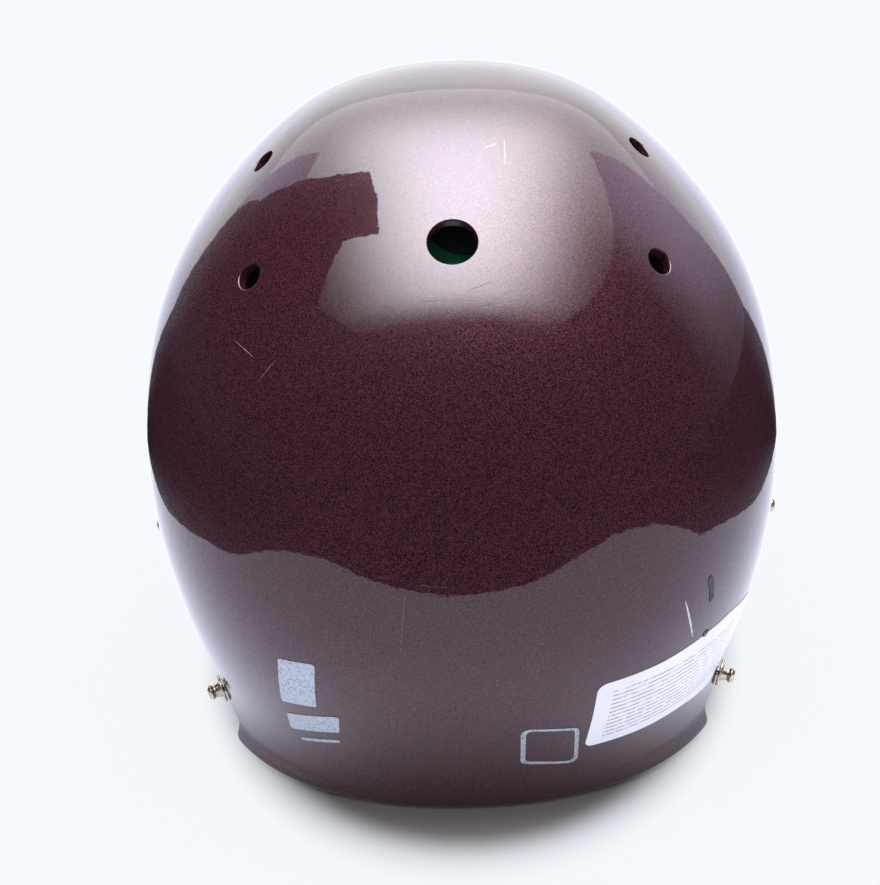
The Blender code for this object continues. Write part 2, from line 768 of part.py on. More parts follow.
def make_brow_strap():
    """A plate under the screw that swells into a loop round the brow bar."""
    frame = strap_frame()
    bar = frame.inverted() @ Vector((STRAP_SIDE, -hinge_reach(), hinge_height()))
    floor = strap_rest_height(frame) + FIT_GAP
    bore = WIRE_RADIUS + LOOP_CLEARANCE
    points = [(STRAP_TAIL, floor), (STRAP_TAIL, floor + STRAP_PLY), (-STRAP_TAIL, floor)]
    points += [(-STRAP_TAIL, floor + STRAP_PLY)]
    points += circle_points(bar.x, bar.y, bore + STRAP_LOOP_WALL)
    strap = prism("brow_strap_left", hull_outline(points), STRAP_WIDTH, strap_plastic(), frame)
    half = STRAP_WIDTH / 2 + CUT_OVERRUN
    bar_frame = frame @ Matrix.Translation((bar.x, bar.y, 0))
    tool = turned("brow_bar_cutter", ((0, half), (bore, half), (bore, -half), (0, -half)), 16, None,
                  bar_frame)
    cut(strap, tool)
    seat_height = floor + STRAP_PLY
    cut(strap, turned("strap_screw_cutter", screw_recess(seat_height), 16, None, outward(frame)))
    return strap, seat_height


def screw_recess(seat_height):
    """A drill for the shank with a wider counterbore down to the face under the head."""
    top = seat_height + CUT_OVERRUN
    wide = SCREW_HEAD_RADIUS + RECESS_CLEARANCE
    bore = SCREW_RADIUS + FIT_GAP
    return ((0, top), (wide, top), (wide, seat_height), (bore, seat_height), (bore, -CUT_OVERRUN),
            (0, -CUT_OVERRUN))


def outward(frame):
    """A frame at the same point whose Z is the given frame's Y."""
    return frame @ Matrix.Rotation(math.radians(-90), 4, "X")


def make_fastener(shell, axis_frame, seat_height, inner_height, tag):
    """A screw, its barrel nut and the shell's hole for the barrel on one axis, and their twins.

    Heights are along the axis from the shell's outer surface: seat_height is the face under
    the screw head, and inner_height the shell's inner face.
    """
    head = seat_height + FIT_GAP
    tip = inner_height - BARREL_FLANGE + SCREW_POINT
    screw = turned(tag + "_screw_left",
                   ((0, head + SCREW_HEAD_HEIGHT), (SCREW_HEAD_RADIUS / 2, head + SCREW_HEAD_HEIGHT),
                    (SCREW_HEAD_RADIUS, head + SCREW_HEAD_HEIGHT / 3), (SCREW_HEAD_RADIUS, head),
                    (SCREW_RADIUS, head), (SCREW_RADIUS, tip), (0, tip)),
                   FASTENER_SIDES, zinc_steel(), axis_frame)
    flange_top = inner_height - FIT_GAP
    flange_low = flange_top - BARREL_FLANGE
    bore = SCREW_RADIUS + FIT_GAP
    nut = turned(tag + "_nut_left",
                 ((bore, -FIT_GAP), (BARREL_RADIUS, -FIT_GAP), (BARREL_RADIUS, flange_top),
                  (BARREL_FLANGE_RADIUS, flange_top), (BARREL_FLANGE_RADIUS, flange_low),
                  (bore, flange_low)), FASTENER_SIDES, zinc_steel(), axis_frame)
    radius = BARREL_RADIUS + FIT_GAP
    top = SHELL_WALL + CUT_OVERRUN
    drill = turned(tag + "_nut_hole_left_cutter", ((0, top), (radius, top), (radius, -top), (0, -top)),
                   16, None, axis_frame)
    cut(shell, drill)
    cut(shell, mirror_twin(drill, tag + "_nut_hole_right_cutter"))
    mirror_twin(screw, tag + "_screw_right")
    mirror_twin(nut, tag + "_nut_right")


def heights_under(frame, place, radius, depth):
    """Heights along a frame's axis of the surface at this depth, under a disc on that axis."""
    spread = PATCH_REACH_SHARE * radius
    turns = place[0] + np.linspace(-spread, spread, PATCH_COUNT)[:, None] / SHELL_HALF_WIDTH
    drops = place[1] + np.linspace(-spread, spread, PATCH_COUNT)[None, :] / SHELL_HEIGHT
    points = shell_point(*np.broadcast_arrays(turns, drops), np.array(depth)).reshape(-1, 3)
    local = [frame.inverted() @ Vector(point) for point in points]
    return [p.z for p in local if math.hypot(p.x, p.y) < radius + FIT_GAP]


def inner_face_height(frame, place, radius):
    """The shell's inner face at its lowest under a disc."""
    return min(heights_under(frame, place, radius, SHELL_WALL)) - FACET_ALLOWANCE


def outer_face_height(place, radius):
    """The shell's outer face at its highest under a disc that lies on it."""
    return max(heights_under(seat(place), place, radius, 0.0))


def nut_depth():
    """How deep below the shell's outer surface a barrel nut's flange reaches."""
    return SHELL_WALL + FIT_GAP + 2 * FACET_ALLOWANCE + BARREL_FLANGE


# Side clips: moulded saddles, open forwards, that the side wires lie in
CLIP_REACH = 0.064
CLIP_HEIGHT = 0.050
CLIP_ARM = 0.019
CLIP_TAIL = 0.0072
CLIP_WIDTH = 0.015
CLIP_WALL = 0.0022
CLIP_CLEARANCE = 0.0009
CLIP_PLY = 0.0042


def clip_place():
    return find_place(1, -CLIP_REACH, CLIP_HEIGHT, 118)


def clip_frame():
    """Frame of the left side clip at its screw: X rearward, Y up the shell, Z out of it."""
    return seat(clip_place())


def clip_bar_local():
    """The side wire's centre in the clip's frame, ahead of the screw and off the shell."""
    standoff = FIT_GAP + CLIP_WALL + CLIP_CLEARANCE + WIRE_RADIUS
    return Vector((-CLIP_ARM, 0, standoff))


def clip_bar_point():
    return clip_frame() @ clip_bar_local()


def make_side_clip():
    """A plate under the screw and a saddle round the side wire, open the way the wire leaves."""
    frame = clip_frame()
    bar = clip_bar_local()
    hollow = WIRE_RADIUS + CLIP_CLEARANCE
    flat = frame @ Matrix.Rotation(math.radians(90), 4, "X")
    points = [(CLIP_TAIL, FIT_GAP), (CLIP_TAIL, FIT_GAP + CLIP_PLY)]
    points += [(-CLIP_TAIL, FIT_GAP), (-CLIP_TAIL, FIT_GAP + CLIP_PLY)]
    points += circle_points(bar.x, bar.z, hollow + CLIP_WALL)
    clip = prism("side_clip_left", hull_outline(points), CLIP_WIDTH, strap_plastic(), flat)
    world_bar = frame @ bar
    from_hinge = world_bar - Vector((world_bar.x, -hinge_reach(), hinge_height()))
    leaving = Vector((0, from_hinge.z, -from_hinge.y))
    local = frame.to_3x3().inverted() @ leaving
    way = Vector((local.x, local.z)).normalized() * (CLIP_ARM + CUT_OVERRUN)
    slot = circle_points(bar.x, bar.z, hollow, 16)
    slot += circle_points(bar.x + way.x, bar.z + way.y, hollow, 16)
    tool = prism("side_clip_slot_cutter", hull_outline(slot), CLIP_WIDTH + CUT_OVERRUN, None, flat)
    cut(clip, tool)
    seat_height = FIT_GAP + CLIP_PLY
    cut(clip, turned("side_clip_screw_cutter", screw_recess(seat_height), 16, None, frame))
    return clip, seat_height


# Chin strap studs: plated snap studs, each held by a small screw from inside
STUD_FLANGE_RADIUS = 0.0055
STUD_FLANGE = 0.0009
STUD_NECK_RADIUS = 0.0024
STUD_HEAD_RADIUS = 0.0031
STUD_HEIGHT = 0.0062
STUD_FLAT_RADIUS = 0.0019
STUD_SIDES = 14
STUD_SCREW_RADIUS = 0.0015
STUD_SCREW_HEAD_RADIUS = 0.0040
STUD_SCREW_HEAD = 0.0014
STUD_BORE_DEPTH = 0.0029
LOWER_STUD_REAR = 0.0440
LOWER_STUD_HEIGHT = 0.0182
UPPER_STUD_REAR = 0.0
UPPER_STUD_HEIGHT = 0.0690


def stud_profile(place):
    """Flange, cone, neck and flat-topped head, with a blind bore for the screw."""
    rest = outer_face_height(place, STUD_FLANGE_RADIUS) + FIT_GAP
    bore = STUD_SCREW_RADIUS + FIT_GAP
    neck = STUD_FLANGE + (STUD_HEIGHT - STUD_FLANGE) / 2
    rows = [(0, STUD_HEIGHT), (STUD_FLAT_RADIUS, STUD_HEIGHT),
            (STUD_HEAD_RADIUS, (STUD_HEIGHT + neck) / 2), (STUD_NECK_RADIUS, neck),
            (STUD_HEAD_RADIUS, STUD_FLANGE + FIT_GAP), (STUD_FLANGE_RADIUS, STUD_FLANGE),
            (STUD_FLANGE_RADIUS, 0), (bore, 0), (bore, STUD_BORE_DEPTH), (0, STUD_BORE_DEPTH)]
    return [(radius, height + rest) for radius, height in rows]


def stud_screw_profile(place):
    """Round head inside the shell, and a shank out through it into the stud's bore."""
    head = inner_face_height(seat(place), place, STUD_SCREW_HEAD_RADIUS) - FIT_GAP
    tip = STUD_BORE_DEPTH - FIT_GAP
    far = head - STUD_SCREW_HEAD
    return ((0, tip), (STUD_SCREW_RADIUS, tip), (STUD_SCREW_RADIUS, head),
            (STUD_SCREW_HEAD_RADIUS, head), (STUD_SCREW_HEAD_RADIUS * HEAD_TOP_SHARE, far), (0, far))


def make_studs(shell):
    """Four studs and their screws, two each side."""
    lower = find_place(1, LOWER_STUD_REAR, LOWER_STUD_HEIGHT, 66)
    upper = find_place(1, UPPER_STUD_REAR, UPPER_STUD_HEIGHT, 90)
    for level, left in (("lower", lower), ("upper", upper)):
        for side, place in (("left", left), ("right", mirrored_place(left))):
            tag = level + "_" + side
            turned(level + "_strap_stud_" + side, stud_profile(place), STUD_SIDES, nickel_brass(),
                   seat(place))
            turned(level + "_stud_screw_" + side, stud_screw_profile(place), FASTENER_SIDES,
                   zinc_steel(), seat(place))
            drill_shell(shell, tag + "_stud_hole", place, STUD_SCREW_RADIUS + FIT_GAP)


# Front bumper: a soft moulded block on the brow, with two small screws
BUMPER_THICKNESS = 0.0034
BUMPER_SIDE_GAP = 0.0015
BUMPER_RISE_GAP = 0.0016
BUMPER_HEIGHT = 0.026
BUMPER_COLUMNS = 8
BUMPER_ROWS = 5
BUMPER_EDGE_SHARE = 0.55
BUMPER_SCREW_SIDE = 0.014
BUMPER_SCREW_RADIUS = 0.0013
BUMPER_SCREW_HEAD_RADIUS = 0.0028
BUMPER_SCREW_HEAD = 0.0012


def bumper_heights():
    low = hinge_height() + WIRE_RADIUS + BUMPER_RISE_GAP
    return low, low + BUMPER_HEIGHT


def make_front_bumper(shell):
    """A block that follows the brow between the straps, thinner towards its edges."""
    half = STRAP_SIDE - STRAP_WIDTH / 2 - BUMPER_SIDE_GAP
    low, high = bumper_heights()
    low_place = find_place(0, 0.0, low, 180)
    high_place = find_place(0, 0.0, high, 180)
    spread = math.atan2(half, FRONT_REACH)
    turns = math.pi + np.linspace(-spread, spread, BUMPER_COLUMNS + 1)
    drops = np.linspace(high_place[1], low_place[1], BUMPER_ROWS + 1)
    u = np.abs(np.linspace(-1, 1, BUMPER_COLUMNS + 1))[:, None]
    v = np.abs(np.linspace(-1, 1, BUMPER_ROWS + 1))[None, :]
    full = (1 - u ** 8) * (1 - v ** 8)
    thick = BUMPER_THICKNESS * (BUMPER_EDGE_SHARE + (1 - BUMPER_EDGE_SHARE) * full)
    outer = shell_point(turns[:, None], drops[None, :], -(FIT_GAP + thick))
    inner = shell_point(turns[:, None], drops[None, :], np.full_like(thick, -FIT_GAP))
    bumper = closed_grid("front_bumper", outer, inner, black_rubber())
    for side in (1, -1):
        name = "left" if side > 0 else "right"
        place = find_place(0, side * BUMPER_SCREW_SIDE, (low + high) / 2, 180)
        hole = BUMPER_SCREW_RADIUS + FIT_GAP
        cut(bumper, hole_cutter("bumper_screw_" + name + "_cutter", place, hole, 12))
        drill_shell(shell, "bumper_hole_" + name, place, hole)
        head = 2 * FIT_GAP + BUMPER_THICKNESS
        top = head + BUMPER_SCREW_HEAD
        rows = ((0, top), (BUMPER_SCREW_HEAD_RADIUS * HEAD_TOP_SHARE, top),
                (BUMPER_SCREW_HEAD_RADIUS, head), (BUMPER_SCREW_RADIUS, head),
                (BUMPER_SCREW_RADIUS, -SHELL_WALL), (0, -SHELL_WALL))
        turned("bumper_screw_" + name, rows, 10, zinc_steel(), seat(place))
    return bumper


# Liner pads: sealed bladders and foam pads inside the shell
LINER_THICKNESS = 0.021
LINER_WEB = 0.003
CELL_GROOVE_SHARE = 0.55
PAD_PULL_SHARE = 0.05


def puff(along, cells, sharp=6):
    """Fullness across a row of cells, 1 at each cell's middle and 0 on each seam."""
    phase = np.abs(np.mod(along * cells, 1.0) * 2 - 1)
    return 1 - phase ** sharp


def pillow(across, down, cells_across, cells_down):
    """Fullness of a sewn pad: full in its cells, low on its seams, nothing at its edge."""
    edge = (1 - np.abs(2 * across - 1) ** 8) * (1 - np.abs(2 * down - 1) ** 8)
    cells = np.minimum(puff(across, cells_across), puff(down, cells_down))
    return np.sqrt(np.clip(edge, 0, 1)) * (1 - CELL_GROOVE_SHARE * (1 - cells))


def make_pad(name, degrees, drops, thickness, depth, cells, counts, finish):
    """A pad that lines part of the shell: both faces swell from one seam line at its edge."""
    across = np.linspace(0, 1, counts[0] + 1)[:, None]
    down = np.linspace(0, 1, counts[1] + 1)[None, :]
    middle = (degrees[0] + degrees[1]) / 2
    reach = (degrees[1] - degrees[0]) / 2
    pull_across = 1 - PAD_PULL_SHARE * (1 - (2 * down - 1) ** 2)
    pull_down = 1 - PAD_PULL_SHARE * (1 - (2 * across - 1) ** 2)
    turn = np.radians(middle + reach * (2 * across - 1) * pull_across)
    level = (drops[0] + drops[1]) / 2 + (drops[1] - drops[0]) / 2 * (2 * down - 1) * pull_down
    full = pillow(across, down, *cells)
    half = (LINER_WEB + (thickness - LINER_WEB) * full) / 2
    centre = depth + thickness / 2
    outer = shell_point(turn, level, centre - half)
    inner = shell_point(turn, level, centre + half)
    return closed_grid(name, outer, inner, finish)


# Crown pad: a round bladder with a centre cell and petals
CROWN_EDGE_SHARE = 0.150
CROWN_CENTRE_SHARE = 0.060
CROWN_PETALS = 8
CROWN_SCALLOP_SHARE = 0.06
CROWN_COLUMNS = 40
CROWN_ROWS = 8


def make_crown_pad():
    """Petals round a centre cell, each puffed, with a scalloped edge."""
    turns = np.linspace(0, 2 * math.pi, CROWN_COLUMNS, endpoint=False)[:, None]
    along = np.linspace(0, 1, CROWN_ROWS + 1)[None, :]
    petal = puff(turns * CROWN_PETALS / (2 * math.pi) + 0.5, 1, 4)
    edge = CROWN_EDGE_SHARE * (1 - CROWN_SCALLOP_SHARE * (1 - petal))
    drop = along * edge
    centre_ratio = drop / CROWN_CENTRE_SHARE
    ring = np.clip((drop - CROWN_CENTRE_SHARE) / (CROWN_EDGE_SHARE - CROWN_CENTRE_SHARE), 0, 1)
    in_centre = np.clip(1 - centre_ratio ** 6, 0, 1)
    in_petal = np.where(drop > CROWN_CENTRE_SHARE, (1 - np.abs(2 * ring - 1) ** 5) * petal, 0)
    rim = np.sqrt(np.clip(1 - along ** 10, 0, 1))
    full = rim * (1 - CELL_GROOVE_SHARE * (1 - np.maximum(in_centre, in_petal)))
    half = (LINER_WEB + (LINER_THICKNESS - LINER_WEB) * full) / 2
    half = np.broadcast_to(half, (CROWN_COLUMNS, CROWN_ROWS + 1)).copy()
    half[:, 0] = half[0, 0]
    depth = SHELL_WALL + PAD_GAP + LINER_THICKNESS / 2
    turn_grid = np.broadcast_to(turns, half.shape)
    outer = shell_point(turn_grid, drop, depth - half)
    inner = shell_point(turn_grid, drop, depth + half)
    for layer, sign in ((outer, -1), (inner, 1)):
        crown = shell_form(0.0, 0.0)
        layer[:, 0] = crown - np.array([0, 0, 1]) * (depth + sign * half[0, 0])
    return closed_grid("crown_pad", outer, inner, green_liner(), wrap=True)


REAR_LINER_DEGREES = (-62.0, 62.0)
REAR_LINER_SHARES = (0.162, 0.63)
SIDE_PAD_DEGREES = (66.0, 112.0)
SIDE_PAD_SHARES = (0.30, 0.53)
SIDE_PAD_THICKNESS = 0.017
BROW_PAD_DEGREES = (134.0, 226.0)
BROW_PAD_SPAN_SHARE = 0.166
BROW_PAD_THICKNESS = 0.018
BROW_PAD_DEPTH = 0.0054
NECK_PAD_DEGREES = (-44.0, 44.0)
NECK_PAD_THICKNESS = 0.017
NECK_PAD_HEIGHT = 0.052
NECK_PAD_RUN_OUT_SHARE = 0.0122


def make_liner():
    """The bladders and pads inside the bowl."""
    depth = SHELL_WALL + PAD_GAP
    make_crown_pad()
    make_pad("rear_liner", REAR_LINER_DEGREES, REAR_LINER_SHARES, LINER_THICKNESS, depth, (5, 2),
             (30, 12), green_liner())
    left = make_pad("side_pad_left", SIDE_PAD_DEGREES, SIDE_PAD_SHARES, SIDE_PAD_THICKNESS, depth,
                    (2, 1), (12, 8), black_vinyl())
    mirror_twin(left, "side_pad_right")
    strap = strap_place()[1]
    drops = (strap - BROW_PAD_SPAN_SHARE, strap)
    make_pad("brow_pad", BROW_PAD_DEGREES, drops, BROW_PAD_THICKNESS, BROW_PAD_DEPTH, (3, 1),
             (24, 7), black_vinyl())


def make_neck_pad():
    """The nape pad, which reaches just below the shell's rim and is flat where it stands."""
    top = find_place(0, 0.0, NECK_PAD_HEIGHT, 0)[1]
    low = find_place(0, 0.0, 0.0, 0)[1]
    pad = make_pad("neck_pad", NECK_PAD_DEGREES, (top, low + NECK_PAD_RUN_OUT_SHARE),
                   NECK_PAD_THICKNESS, SHELL_WALL + PAD_GAP, (3, 1), (20, 6), black_vinyl())
    wide = 2 * (REAR_REACH + CUT_OVERRUN)
    square = [(-wide, -wide), (wide, -wide), (wide, wide), (-wide, wide)]
    below = Matrix.Translation((0, 0, -CUT_OVERRUN))
    cut(pad, prism("ground_cutter", square, 2 * CUT_OVERRUN, None, below))
    return pad


# Jaw pads: foam blocks in a vinyl skin, snapped to the jaw flaps
JAW_PAD_THICKNESS = 0.019
JAW_PAD_FRONT = 0.094
JAW_PAD_REAR = 0.046
JAW_PAD_LOW = 0.009
JAW_PAD_HIGH = 0.046
SNAP_SIDE_SHARE = 0.24
SNAP_DISC_RADIUS = 0.0048
SNAP_DISC = 0.0019
SNAP_HEAD_RADIUS = 0.0036
SNAP_HEAD = 0.0009
SNAP_SHANK_RADIUS = 0.0015


def snap_depth():
    """Depth of the face that the jaw pads lie on: past the snap discs and the clip's nut."""
    disc = SHELL_WALL + FIT_GAP + 2 * FACET_ALLOWANCE + SNAP_DISC
    return max(disc, nut_depth()) + FIT_GAP


def make_jaw_pads(shell):
    """A pad on each jaw flap, with two snaps through the shell behind each."""
    front = find_place(1, -JAW_PAD_FRONT, (JAW_PAD_LOW + JAW_PAD_HIGH) / 2, 140)
    rear = find_place(1, -JAW_PAD_REAR, (JAW_PAD_LOW + JAW_PAD_HIGH) / 2, 110)
    middle = (JAW_PAD_FRONT + JAW_PAD_REAR) / 2
    high = find_place(1, -middle, JAW_PAD_HIGH, 125)
    low = find_place(1, -middle, JAW_PAD_LOW, 125)
    degrees = (math.degrees(rear[0]), math.degrees(front[0]))
    left = make_pad("jaw_pad_left", degrees, (high[1], low[1]), JAW_PAD_THICKNESS, snap_depth(),
                    (1, 1), (10, 8), black_vinyl())
    mirror_twin(left, "jaw_pad_right")
    span = JAW_PAD_FRONT - JAW_PAD_REAR
    height = (JAW_PAD_LOW + JAW_PAD_HIGH) / 2 - SNAP_DISC_RADIUS
    for number, share in (("front", SNAP_SIDE_SHARE), ("rear", 1 - SNAP_SIDE_SHARE)):
        place = find_place(1, -JAW_PAD_FRONT + span * share, height, 125)
        for side, here in (("left", place), ("right", mirrored_place(place))):
            make_snap("jaw_pad_snap_" + number + "_" + side, here)
            drill_shell(shell, "jaw_snap_" + number + "_" + side, here, SNAP_SHANK_RADIUS + FIT_GAP)


def make_snap(name, place):
    """A snap with a low head outside, a shank through the shell and a disc behind the pad."""
    inside = inner_face_height(seat(place), place, SNAP_DISC_RADIUS) - FIT_GAP
    rows = ((0, FIT_GAP + SNAP_HEAD), (SNAP_HEAD_RADIUS * HEAD_TOP_SHARE, FIT_GAP + SNAP_HEAD),
            (SNAP_HEAD_RADIUS, FIT_GAP), (SNAP_SHANK_RADIUS, FIT_GAP), (SNAP_SHANK_RADIUS, inside),
            (SNAP_DISC_RADIUS, inside), (SNAP_DISC_RADIUS, inside - SNAP_DISC), (0, inside - SNAP_DISC))
    return turned(name, rows, FASTENER_SIDES, nickel_brass(), seat(place))


def build():
    """Make every piece of the helmet."""
    start_scene()
    shell = make_shell()
    make_face_guard()
    strap, strap_top = make_brow_strap()
    mirror_twin(strap, "brow_strap_right")
    clip, clip_top = make_side_clip()
    mirror_twin(clip, "side_clip_right")
    for tag, frame, place, top in (
            ("brow_strap", outward(strap_frame()), strap_place(), strap_top),
            ("side_clip", clip_frame(), clip_place(), clip_top)):
        low = inner_face_height(frame, place, BARREL_FLANGE_RADIUS)
        make_fastener(shell, frame, top, low, tag)
    make_studs(shell)
    make_front_bumper(shell)
    make_liner()
    make_neck_pad()
    make_jaw_pads(shell)


build()
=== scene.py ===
"""An American football helmet on a white table, seen from behind and a little above.

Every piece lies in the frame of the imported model: metres, +Z up, the wearer faces -Y, and the
helmet stands at Z = 0.
"""
import math

import bmesh
import bpy
import numpy as np
from mathutils import Matrix, Vector
from mathutils.geometry import delaunay_2d_cdt


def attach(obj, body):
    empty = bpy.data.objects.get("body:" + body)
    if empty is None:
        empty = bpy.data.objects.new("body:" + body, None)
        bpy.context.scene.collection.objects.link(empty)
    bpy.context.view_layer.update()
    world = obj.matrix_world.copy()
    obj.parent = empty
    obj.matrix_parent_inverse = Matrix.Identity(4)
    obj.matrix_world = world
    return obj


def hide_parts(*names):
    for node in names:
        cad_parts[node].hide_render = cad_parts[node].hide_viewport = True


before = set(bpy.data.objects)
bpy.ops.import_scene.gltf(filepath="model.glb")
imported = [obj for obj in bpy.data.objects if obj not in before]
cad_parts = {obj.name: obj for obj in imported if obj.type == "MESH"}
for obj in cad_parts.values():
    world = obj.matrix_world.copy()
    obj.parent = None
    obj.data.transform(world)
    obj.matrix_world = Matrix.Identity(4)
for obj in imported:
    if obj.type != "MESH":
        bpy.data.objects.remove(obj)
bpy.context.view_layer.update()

# Camera: a long lens a little above the helmet and behind it, rolled slightly, as it was held.
# The image is 880 by 885 pixels, so its height is the long side that the sensor spans.
IMAGE_HEIGHT = 885
CAMERA_RISE = math.radians(24.99)
CAMERA_YAW = math.radians(-1.156)
CAMERA_ROLL = math.radians(-2.497)
CAMERA_DISTANCE = 0.900
CAMERA_TARGET = (0.00886, 0.03625, 0.1005)
CAMERA_PIXELS = 2282.0
SENSOR = 36.0

back = np.array([math.sin(CAMERA_YAW) * math.cos(CAMERA_RISE),
                 math.cos(CAMERA_YAW) * math.cos(CAMERA_RISE), math.sin(CAMERA_RISE)])
level = np.cross(-back, (0, 0, 1))
level /= np.linalg.norm(level)
upright = np.cross(level, -back)
across = level * math.cos(CAMERA_ROLL) + upright * math.sin(CAMERA_ROLL)
upwards = -level * math.sin(CAMERA_ROLL) + upright * math.cos(CAMERA_ROLL)
camera = bpy.data.objects.new("camera", bpy.data.cameras.new("camera"))
camera.data.sensor_width = SENSOR
camera.data.lens = CAMERA_PIXELS / IMAGE_HEIGHT * SENSOR
camera.data.clip_start = 0.01
place = Matrix(np.stack([across, upwards, back], 1).tolist()).to_4x4()
place.translation = Vector(CAMERA_TARGET) + Vector(back) * CAMERA_DISTANCE
camera.matrix_world = place
bpy.context.scene.collection.objects.link(camera)
bpy.context.scene.camera = camera


# White table and studio: a white sweep, one large soft lamp overhead, and a dark room beyond the
# table on the camera's side, which the gloss of the paint shows as a broad dark band.
SWEEP_REACH = 7.0
LAMP_PLACE, LAMP_SIZE, LAMP_WATTS = (-0.05, 0.05, 1.50), 1.3, 22.0
GLOW_CENTRE, GLOW_REACH, GLOW_STRENGTH = (-0.05, 0.20, 0.0), (0.78, 1.10), 17.2
CEILING_HEIGHT, CEILING_REACH = 1.55, 3.2
ROOM_RADIUS, ROOM_HEIGHT, ROOM_STRIPS = 1.6, 1.75, 60
ROOM_LEFT, ROOM_RIGHT = math.radians(-134), math.radians(138)
FLOOR_RISE = 0.0006
BOARD_SIDE = 0.50
PAPER_WHITE = "#e9edf2"
# Where each change of the studio starts and stops, in metres, and its values there if not 0 and 1
PAPER_PAINTED_SHADOW, PAPER_NEAR, PAPER_FAR = (0.156, 0.178), (0.158, 0.197, 0.0, 0.96), (0.30, 0.80)
PAPER_MIRRORED = (0.148, 0.265)
RIGHT_WALL_FAR, RIGHT_WALL_UP = (0.10, -0.75), (0.0, 0.95, 0.35, 2.6)
LEFT_WALL_FAR, LEFT_WALL_UP = (-0.80, -0.92), (0.50, 0.66, 0.0, 2.4)
WALL_DUSK = (0.1, 1.75, 0.09, 0.15)
CEILING_END, CEILING_FAR = (1.31, 0.82), (-0.9, 0.25, 2.3, 0.10)


def linear(hex_colour):
    """Linear RGBA of an sRGB hex colour: c / 12.92 below 0.04045, else ((c + 0.055) / 1.055) ** 2.4."""
    srgb = np.array([int(hex_colour[i:i + 2], 16) for i in (1, 3, 5)]) / 255
    return (*np.where(srgb <= 0.04045, srgb / 12.92, ((srgb + 0.055) / 1.055) ** 2.4), 1.0)


def set_sockets(node, sockets):
    """Give sockets of a node a value or a source socket each."""
    for socket, value in sockets.items():
        if isinstance(value, bpy.types.NodeSocket):
            node.id_data.links.new(value, node.inputs[socket])
        else:
            node.inputs[socket].default_value = value


def add_node(tree, kind, sockets=None, **settings):
    """One shader node with its settings and sockets."""
    made = tree.nodes.new(kind)
    for name, value in settings.items():
        setattr(made, name, value)
    set_sockets(made, sockets or {})
    return made


def computed(tree, operation, *values):
    """The result of a Math node on numbers or sockets."""
    return add_node(tree, "ShaderNodeMath", dict(enumerate(values)), operation=operation).outputs[0]


def product(tree, value, *others):
    """All the values multiplied."""
    for other in others:
        value = computed(tree, "MULTIPLY", value, other)
    return value


def vector_of(tree, operation, *values):
    """The result of a Vector Math node: a number for LENGTH, else a vector."""
    made = add_node(tree, "ShaderNodeVectorMath", dict(enumerate(values)), operation=operation)
    return made.outputs["Value" if operation == "LENGTH" else "Vector"]


def remapped(tree, value, start, stop, first=0.0, last=1.0, kind="LINEAR"):
    """A number that goes from first to last as value goes from start to stop."""
    return add_node(tree, "ShaderNodeMapRange", {0: value, 1: start, 2: stop, 3: first, 4: last},
                    interpolation_type=kind).outputs[0]


def eased(tree, value, start, stop, first=0.0, last=1.0):
    """The same with a smooth step."""
    return remapped(tree, value, start, stop, first, last, "SMOOTHSTEP")


def place_in(tree):
    """The shading point in metres."""
    return add_node(tree, "ShaderNodeTexCoord").outputs["Object"]


def glow(tree, colour, strength):
    """Plain emission of a hex colour."""
    return add_node(tree, "ShaderNodeEmission", {"Color": linear(colour), "Strength": strength}).outputs[0]


def diffuse(tree, colour):
    """A matt shader of a colour or socket."""
    return add_node(tree, "ShaderNodeBsdfDiffuse", {"Color": colour}).outputs[0]


def blended(tree, share, first, second):
    """Two colours mixed by a share of the second."""
    return add_node(tree, "ShaderNodeMix", {0: share, 6: first, 7: second}, data_type="RGBA").outputs[2]


def mixed(tree, share, first, second):
    """Two shaders mixed by a share of the second."""
    return add_node(tree, "ShaderNodeMixShader", {0: share, 1: first, 2: second}).outputs[0]


def from_centre(tree, centre, scale):
    """Distance of a shading point from a vertical line through centre, with its axes scaled."""
    apart = vector_of(tree, "SUBTRACT", place_in(tree), centre)
    return vector_of(tree, "LENGTH", vector_of(tree, "MULTIPLY", apart, scale))


def link_mesh(name, points, *face_sets, normals=None, flat=False):
    """A mesh object from points and arrays of triangles or quads, without points that none uses."""
    mesh = bpy.data.meshes.new(name)
    used, loops = np.unique(np.concatenate([faces.reshape(-1) for faces in face_sets]), return_inverse=True)
    sizes = np.concatenate([np.full(len(faces), faces.shape[1]) for faces in face_sets])
    mesh.vertices.add(len(used))
    mesh.vertices.foreach_set("co", np.asarray(points, np.float32)[used].reshape(-1))
    mesh.loops.add(len(loops))
    mesh.loops.foreach_set("vertex_index", loops.astype(np.int32))
    mesh.polygons.add(len(sizes))
    mesh.polygons.foreach_set("loop_start", (np.cumsum(sizes) - sizes).astype(np.int32))
    mesh.update(calc_edges=True)
    mesh.validate()
    if flat:
        mesh.shade_flat()
    else:
        mesh.shade_smooth()
    if normals is not None:
        mesh.normals_split_custom_set_from_vertices(np.asarray(normals, float)[used].tolist())
    made = bpy.data.objects.new(name, mesh)
    bpy.context.scene.collection.objects.link(made)
    return made


def studio_surface(name, points, faces, seen_by_camera=False):
    """A stage surface and its empty material tree. Unless the camera sees it, only gloss does."""
    surface = link_mesh(name, points, np.array(faces), flat=True)
    made = bpy.data.materials.new(name + "_finish")
    made.use_nodes = True
    made.node_tree.nodes.clear()
    surface.data.materials.append(made)
    if not seen_by_camera:
        surface.visible_camera = surface.visible_diffuse = False
        surface.visible_shadow = surface.visible_transmission = False
    return made.node_tree


def show(tree, shader):
    """Make a shader the material's surface."""
    add_node(tree, "ShaderNodeOutputMaterial", {0: shader})
